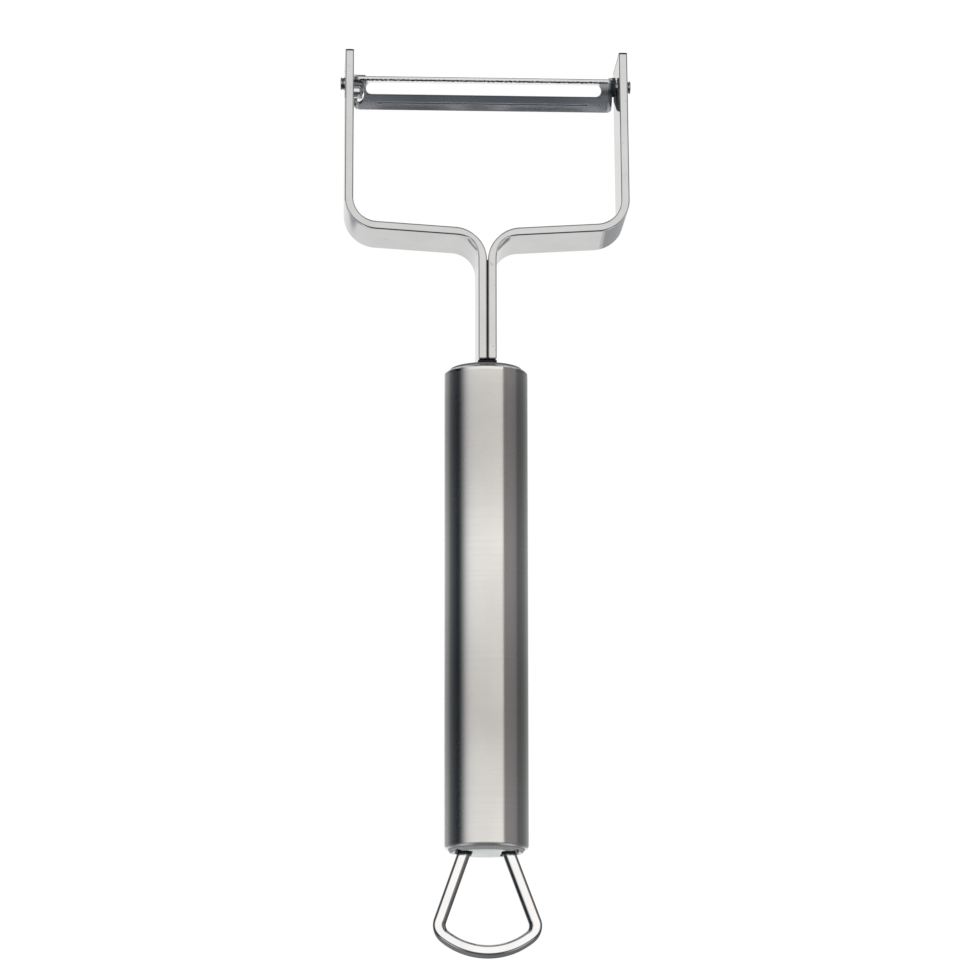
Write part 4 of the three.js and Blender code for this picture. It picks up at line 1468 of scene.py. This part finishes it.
def polished_yoke_steel():
    """Steel of the strips, with painted shade on their tips and a painted reflection of the blade's end
    beside it.
    """
    image = (blade_reflection_group(), BLADE_REFLECTION_TONE)
    tip = (strip_tip_shade_group(), TIP_SHADE_TONE)
    return polished_steel("polished_yoke_steel", YOKE_TONES, YOKE_ROUGHNESS, YOKE_NICKS, image, tip)


def polished_loop_steel():
    """Steel of the loop, with painted shade on the wire's sides and where its legs enter the cap."""
    slot = (slot_shade_group(), SLOT_SHADE_TONE)
    sides = [(wire_side_shade_group(), WIRE_SIDE_SHADE_TONE)]
    return polished_steel("polished_loop_steel", LOOP_TONES, LOOP_ROUGHNESS, LOOP_NICKS, slot, darker=sides)


def blade_steel():
    """Dark satin blade steel, ground along its length."""
    finish = Finish("satin_blade_steel", Specular_IOR_Level=0.0)
    lines = finish.group(BRUSHED_LINES, Stretch=BLADE_LINES)
    grit = finish.group(BRUSHED_LINES, Stretch=BLADE_GRIT)
    marks = finish.group(HANDLING_MARKS, Cloud_Scale=BLADE_CLOUDS)
    zones = finish.group(blade_zones_group())
    satin = finish.mix(finish.spread(lines["Fine"], 0, 1), *BLADE_TONES)
    # Grit of the ground line: random grinding marks, but dark on the whole, which is also painted shade in
    # the line's recess.
    ground_grit = finish.mix(finish.spread(grit["Fine"], 0, 1, GRIT_MIDDLE), *GRIT_TONES)
    colour = finish.mix(zones["Ground"], satin, ground_grit)
    # Painted shade inside the guard's groove.
    colour = finish.mix(finish.part(zones["Groove"], GROOVE_SHADE_SHARE), colour, GROOVE_SHADE_TONE)
    finish.feed("Base Color", finish.mix(zones["Shaded"], colour, SHADE_TONE))
    smooth = finish.spread(marks["Clouds"], *BLADE_ROUGHNESS)
    finish.feed("Roughness", finish.mix(zones["Ground"], smooth, GROUND_ROUGHNESS, "FLOAT"))
    finish.feed("Metallic", range_in(finish.tree, zones["Dull"], 0, 1, 1, 0))
    finish.bump(lines["Fine"], LINE_BUMP_DEPTH, BLADE_BUMP)
    return finish.material


def clouded(name, cloud_scale, tones, roughness, metallic):
    """Plain finish that changes only in soft clouds."""
    finish = Finish(name, Metallic=metallic)
    marks = finish.group(HANDLING_MARKS, Cloud_Scale=cloud_scale)
    finish.feed("Base Color", finish.mix(finish.spread(marks["Clouds"], 0, 1), *tones))
    finish.feed("Roughness", finish.spread(marks["Clouds"], *roughness))
    return finish.material


def plain_steel():
    """Unpolished steel of the hidden fittings."""
    return clouded("plain_inner_steel", INNER_CLOUDS, INNER_TONES, INNER_ROUGHNESS, 1.0)


def black_rubber():
    """Matt black seal with a dusty bloom."""
    return clouded("black_seal_rubber", RUBBER_CLOUDS, RUBBER_TONES, RUBBER_ROUGHNESS, 0.0)


# Studio

def glowing(name, glow, tones, glow_tones):
    """Matt surface, lit evenly from itself."""
    finish = Finish(name, Roughness=1.0, Specular_IOR_Level=0.0, Emission_Strength=glow)
    marks = finish.group(HANDLING_MARKS, Cloud_Scale=STUDIO_CLOUDS)
    clouds = finish.spread(marks["Clouds"], 0, 1)
    finish.feed("Base Color", finish.mix(clouds, *tones))
    finish.feed("Emission Color", finish.mix(clouds, *glow_tones))
    return finish.material


def level_panel(across, along, level):
    """Corners of a level panel."""
    left, right = across
    near, far = along
    return [(left, near, level), (right, near, level), (right, far, level), (left, far, level)]


def floor():
    """Plain pale floor with faint soft shading; the steel mirrors the studio instead."""
    reach = (-FLOOR_HALF, FLOOR_HALF)
    made = mesh_object("studio_floor", level_panel(reach, reach, -HANDLE_RADIUS), [[0, 1, 2, 3]])
    paint(made, glowing("pale_floor", FLOOR_GLOW, FLOOR_TONES, FLOOR_GLOW_TONES))
    made.visible_glossy = False


def mirrored_card(name, corners, material):
    """Panel that only reflections see."""
    made = mesh_object(name, corners, [[0, 1, 2, 3]])
    paint(made, material)
    made.visible_camera = False
    made.visible_diffuse = False
    made.visible_shadow = False
    return made


def veil_glow(name, glow):
    """Clear veil that adds its light to what lies behind it."""
    material = bpy.data.materials.new(name)
    material.use_nodes = True
    tree = material.node_tree
    tree.nodes.clear()
    clear = tree.nodes.new("ShaderNodeBsdfTransparent")
    light = tree.nodes.new("ShaderNodeEmission")
    light.inputs["Strength"].default_value = glow
    both = tree.nodes.new("ShaderNodeAddShader")
    feed(tree, clear.outputs[0], both.inputs[0])
    feed(tree, light.outputs[0], both.inputs[1])
    out = tree.nodes.new("ShaderNodeOutputMaterial")
    feed(tree, both.outputs[0], out.inputs["Surface"])
    return material


def low_card(name, across, along, depth, material):
    """Level panel below the floor."""
    return mirrored_card(name, level_panel(across, along, -HANDLE_RADIUS - depth), material)


def wall_card(name, x, along, material):
    """Upright panel beside the peeler."""
    low, high = WALL_HEIGHTS
    near, far = along
    return mirrored_card(name, [(x, near, low), (x, far, low), (x, far, high), (x, near, high)], material)


def white_backdrop():
    """Card below the peeler, fading at its right edge."""
    left, right = BACKDROP_ACROSS
    white = glowing("white_card", BACKDROP_GLOW, CARD_TONES, CARD_GLOW_TONES)
    grey = glowing("grey_card", FADE_GLOW, CARD_TONES, CARD_GLOW_TONES)
    low_card("white_backdrop", (left, right), BACKDROP_ALONG, BACKDROP_DEPTH, white)
    low_card("backdrop_fade", (right, right + BACKDROP_FADE), BACKDROP_ALONG, BACKDROP_DEPTH, grey)


def yoke_veils(strips):
    """Pale ground and walls all round, which only the strips mirror."""
    (left_in, right_in), (near_in, far_in) = RING_INNER
    (left, right), (near, far) = RING_OUTER
    veil = veil_glow("pale_veil", RING_GLOW)
    depth = BACKDROP_DEPTH + RING_BELOW_BACKDROP
    veils = [
        low_card("ring_left", (left, left_in), (near, far), depth, veil),
        low_card("ring_right", (right_in, right), (near, far), depth, veil),
        low_card("ring_near", (left_in, right_in), (near, near_in), depth, veil),
        low_card("ring_far", (left_in, right_in), (far_in, far), depth, veil),
    ]
    for name, x in (("left", -WALL_PLACE), ("right", WALL_PLACE)):
        for order, stretch in zip(("near", "far"), WALL_STRETCHES):
            veils.append(wall_card("wall_" + name + "_" + order, x, stretch, veil))
    mirrors = bpy.data.collections.new("strips_that_mirror")
    for strip in strips:
        mirrors.objects.link(strip)
    for made in veils:
        made.light_linking.receiver_collection = mirrors


def studio_light():
    """Wide softbox overhead with a crisp right edge, a grey wall to the right, dark ends and pale corners."""
    world = bpy.data.worlds.new("studio")
    bpy.context.scene.world = world
    world.use_nodes = True
    tree = world.node_tree
    tree.nodes.clear()
    out = tree.nodes.new("ShaderNodeOutputWorld")
    background = tree.nodes.new("ShaderNodeBackground")
    feed(tree, background.outputs[0], out.inputs["Surface"])
    x, y, z = parts_in(tree, tree.nodes.new("ShaderNodeTexCoord").outputs["Generated"])
    across = ramp_in(tree, math_in(tree, "ARCTAN2", x, z), LIGHT_ACROSS)
    along = ramp_in(tree, math_in(tree, "ARCSINE", y), LIGHT_ALONG)
    from_below = math_in(tree, "ARCCOSINE", math_in(tree, "MULTIPLY", z, -1))
    low_right = ramp_in(tree, from_below, LIGHT_LOW_RIGHT)
    low_left = ramp_in(tree, from_below, LIGHT_LOW_LEFT)
    upper = mix_in(tree, 1, across, along, way="MULTIPLY")
    lower = mix_in(tree, range_in(tree, x, *SIDES_MEET), low_left, low_right)
    lower = mix_in(tree, range_in(tree, y, *LOW_END), lower, LOW_END_TONE)
    all_round = mix_in(tree, range_in(tree, z, *HORIZON), lower, upper)
    corner = all_of(
        tree,
        range_in(tree, math_in(tree, "ABSOLUTE", x), *CORNER_ACROSS),
        range_in(tree, math_in(tree, "ABSOLUTE", y), *CORNER_ALONG),
        range_in(tree, z, *CORNER_FOOT),
        range_in(tree, z, *CORNER_TOP),
    )
    feed(tree, mix_in(tree, corner, all_round, CORNER_TONE), background.inputs["Color"])


def camera():
    """The photograph's view."""
    data = bpy.data.cameras.new("photo_camera")
    data.lens = CAMERA_LENS
    data.sensor_width = CAMERA_SENSOR
    data.clip_start, data.clip_end = CAMERA_CLIP
    made = bpy.data.objects.new("photo_camera", data)
    bpy.context.scene.collection.objects.link(made)
    turn = (
        Matrix.Rotation(CAMERA_ROLL, 4, "Z")
        @ Matrix.Rotation(CAMERA_YAW, 4, "Y")
        @ Matrix.Rotation(CAMERA_PITCH, 4, "X")
    )
    made.matrix_world = Matrix.Translation(place(*CAMERA_PLACE)) @ turn
    bpy.context.scene.camera = made


# The peeler

def build_peeler():
    """Replaces the visible nodes and gives the hidden ones their steel."""
    # The caps' round edges get painted shade, matt and dark.
    front_edge = cap_edge_shade_group("front_cap_edge_shade", 0, 1, FRONT_CAP_EDGE, FRONT_EDGE_SHADE_SHARES)
    rear_edge = cap_edge_shade_group("rear_cap_edge_shade", -HANDLE_LENGTH, -1, REAR_CAP_EDGE, REAR_EDGE_SHADE_SHARES)
    front_steel = satin_cap_steel("satin_front_steel", front_edge, FRONT_EDGE_SHADE_TONE)
    rear_steel = satin_cap_steel("satin_rear_steel", rear_edge, REAR_EDGE_SHADE_TONE)
    yoke_steel = polished_yoke_steel()
    rivet_steel = polished_steel("polished_rivet_steel", RIVET_SHADED_TONES, PIN_ROUGHNESS, RIVET_NICKS)
    stud_steel = polished_steel("polished_stud_steel", STUD_TONES, PIN_ROUGHNESS, STUD_NICKS)
    dress(handle_tube(), "handle", "handle_tube", brushed_handle_steel())
    dress(front_cap(), "handle", "front_cap", front_steel)
    dress(rear_cap(), "handle", "rear_cap", rear_steel)
    dress(stem_seal(), "handle", "stem_seal", black_rubber())
    left = dress(yoke_strip("left_strip", -1), "handle", "yoke_arm_left", yoke_steel)
    right = dress(yoke_strip("right_strip", 1), "handle", "yoke_arm_right", yoke_steel)
    yoke_veils((left, right))
    dress(peeling_blade(), "blade", "peeling_blade", blade_steel())
    dress(pivot_rivet("left_pivot", -1), "handle", "pivot_rivet_left", rivet_steel)
    dress(pivot_rivet("right_pivot", 1), "handle", "pivot_rivet_right", rivet_steel)
    dress(stop_stud(), "handle", "stop_stud", stud_steel)
    dress(hanging_loop(), "loop", "hanging_loop", polished_loop_steel())
    inner_steel = plain_steel()
    for node in ("tang_cheek_left", "tang_cheek_right", "tang_rivet_front", "tang_rivet_rear", "loop_axle"):
        paint(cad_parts[node], inner_steel)


bpy.context.scene.view_settings.view_transform = "Standard"
camera()
floor()
white_backdrop()
studio_light()
build_peeler()
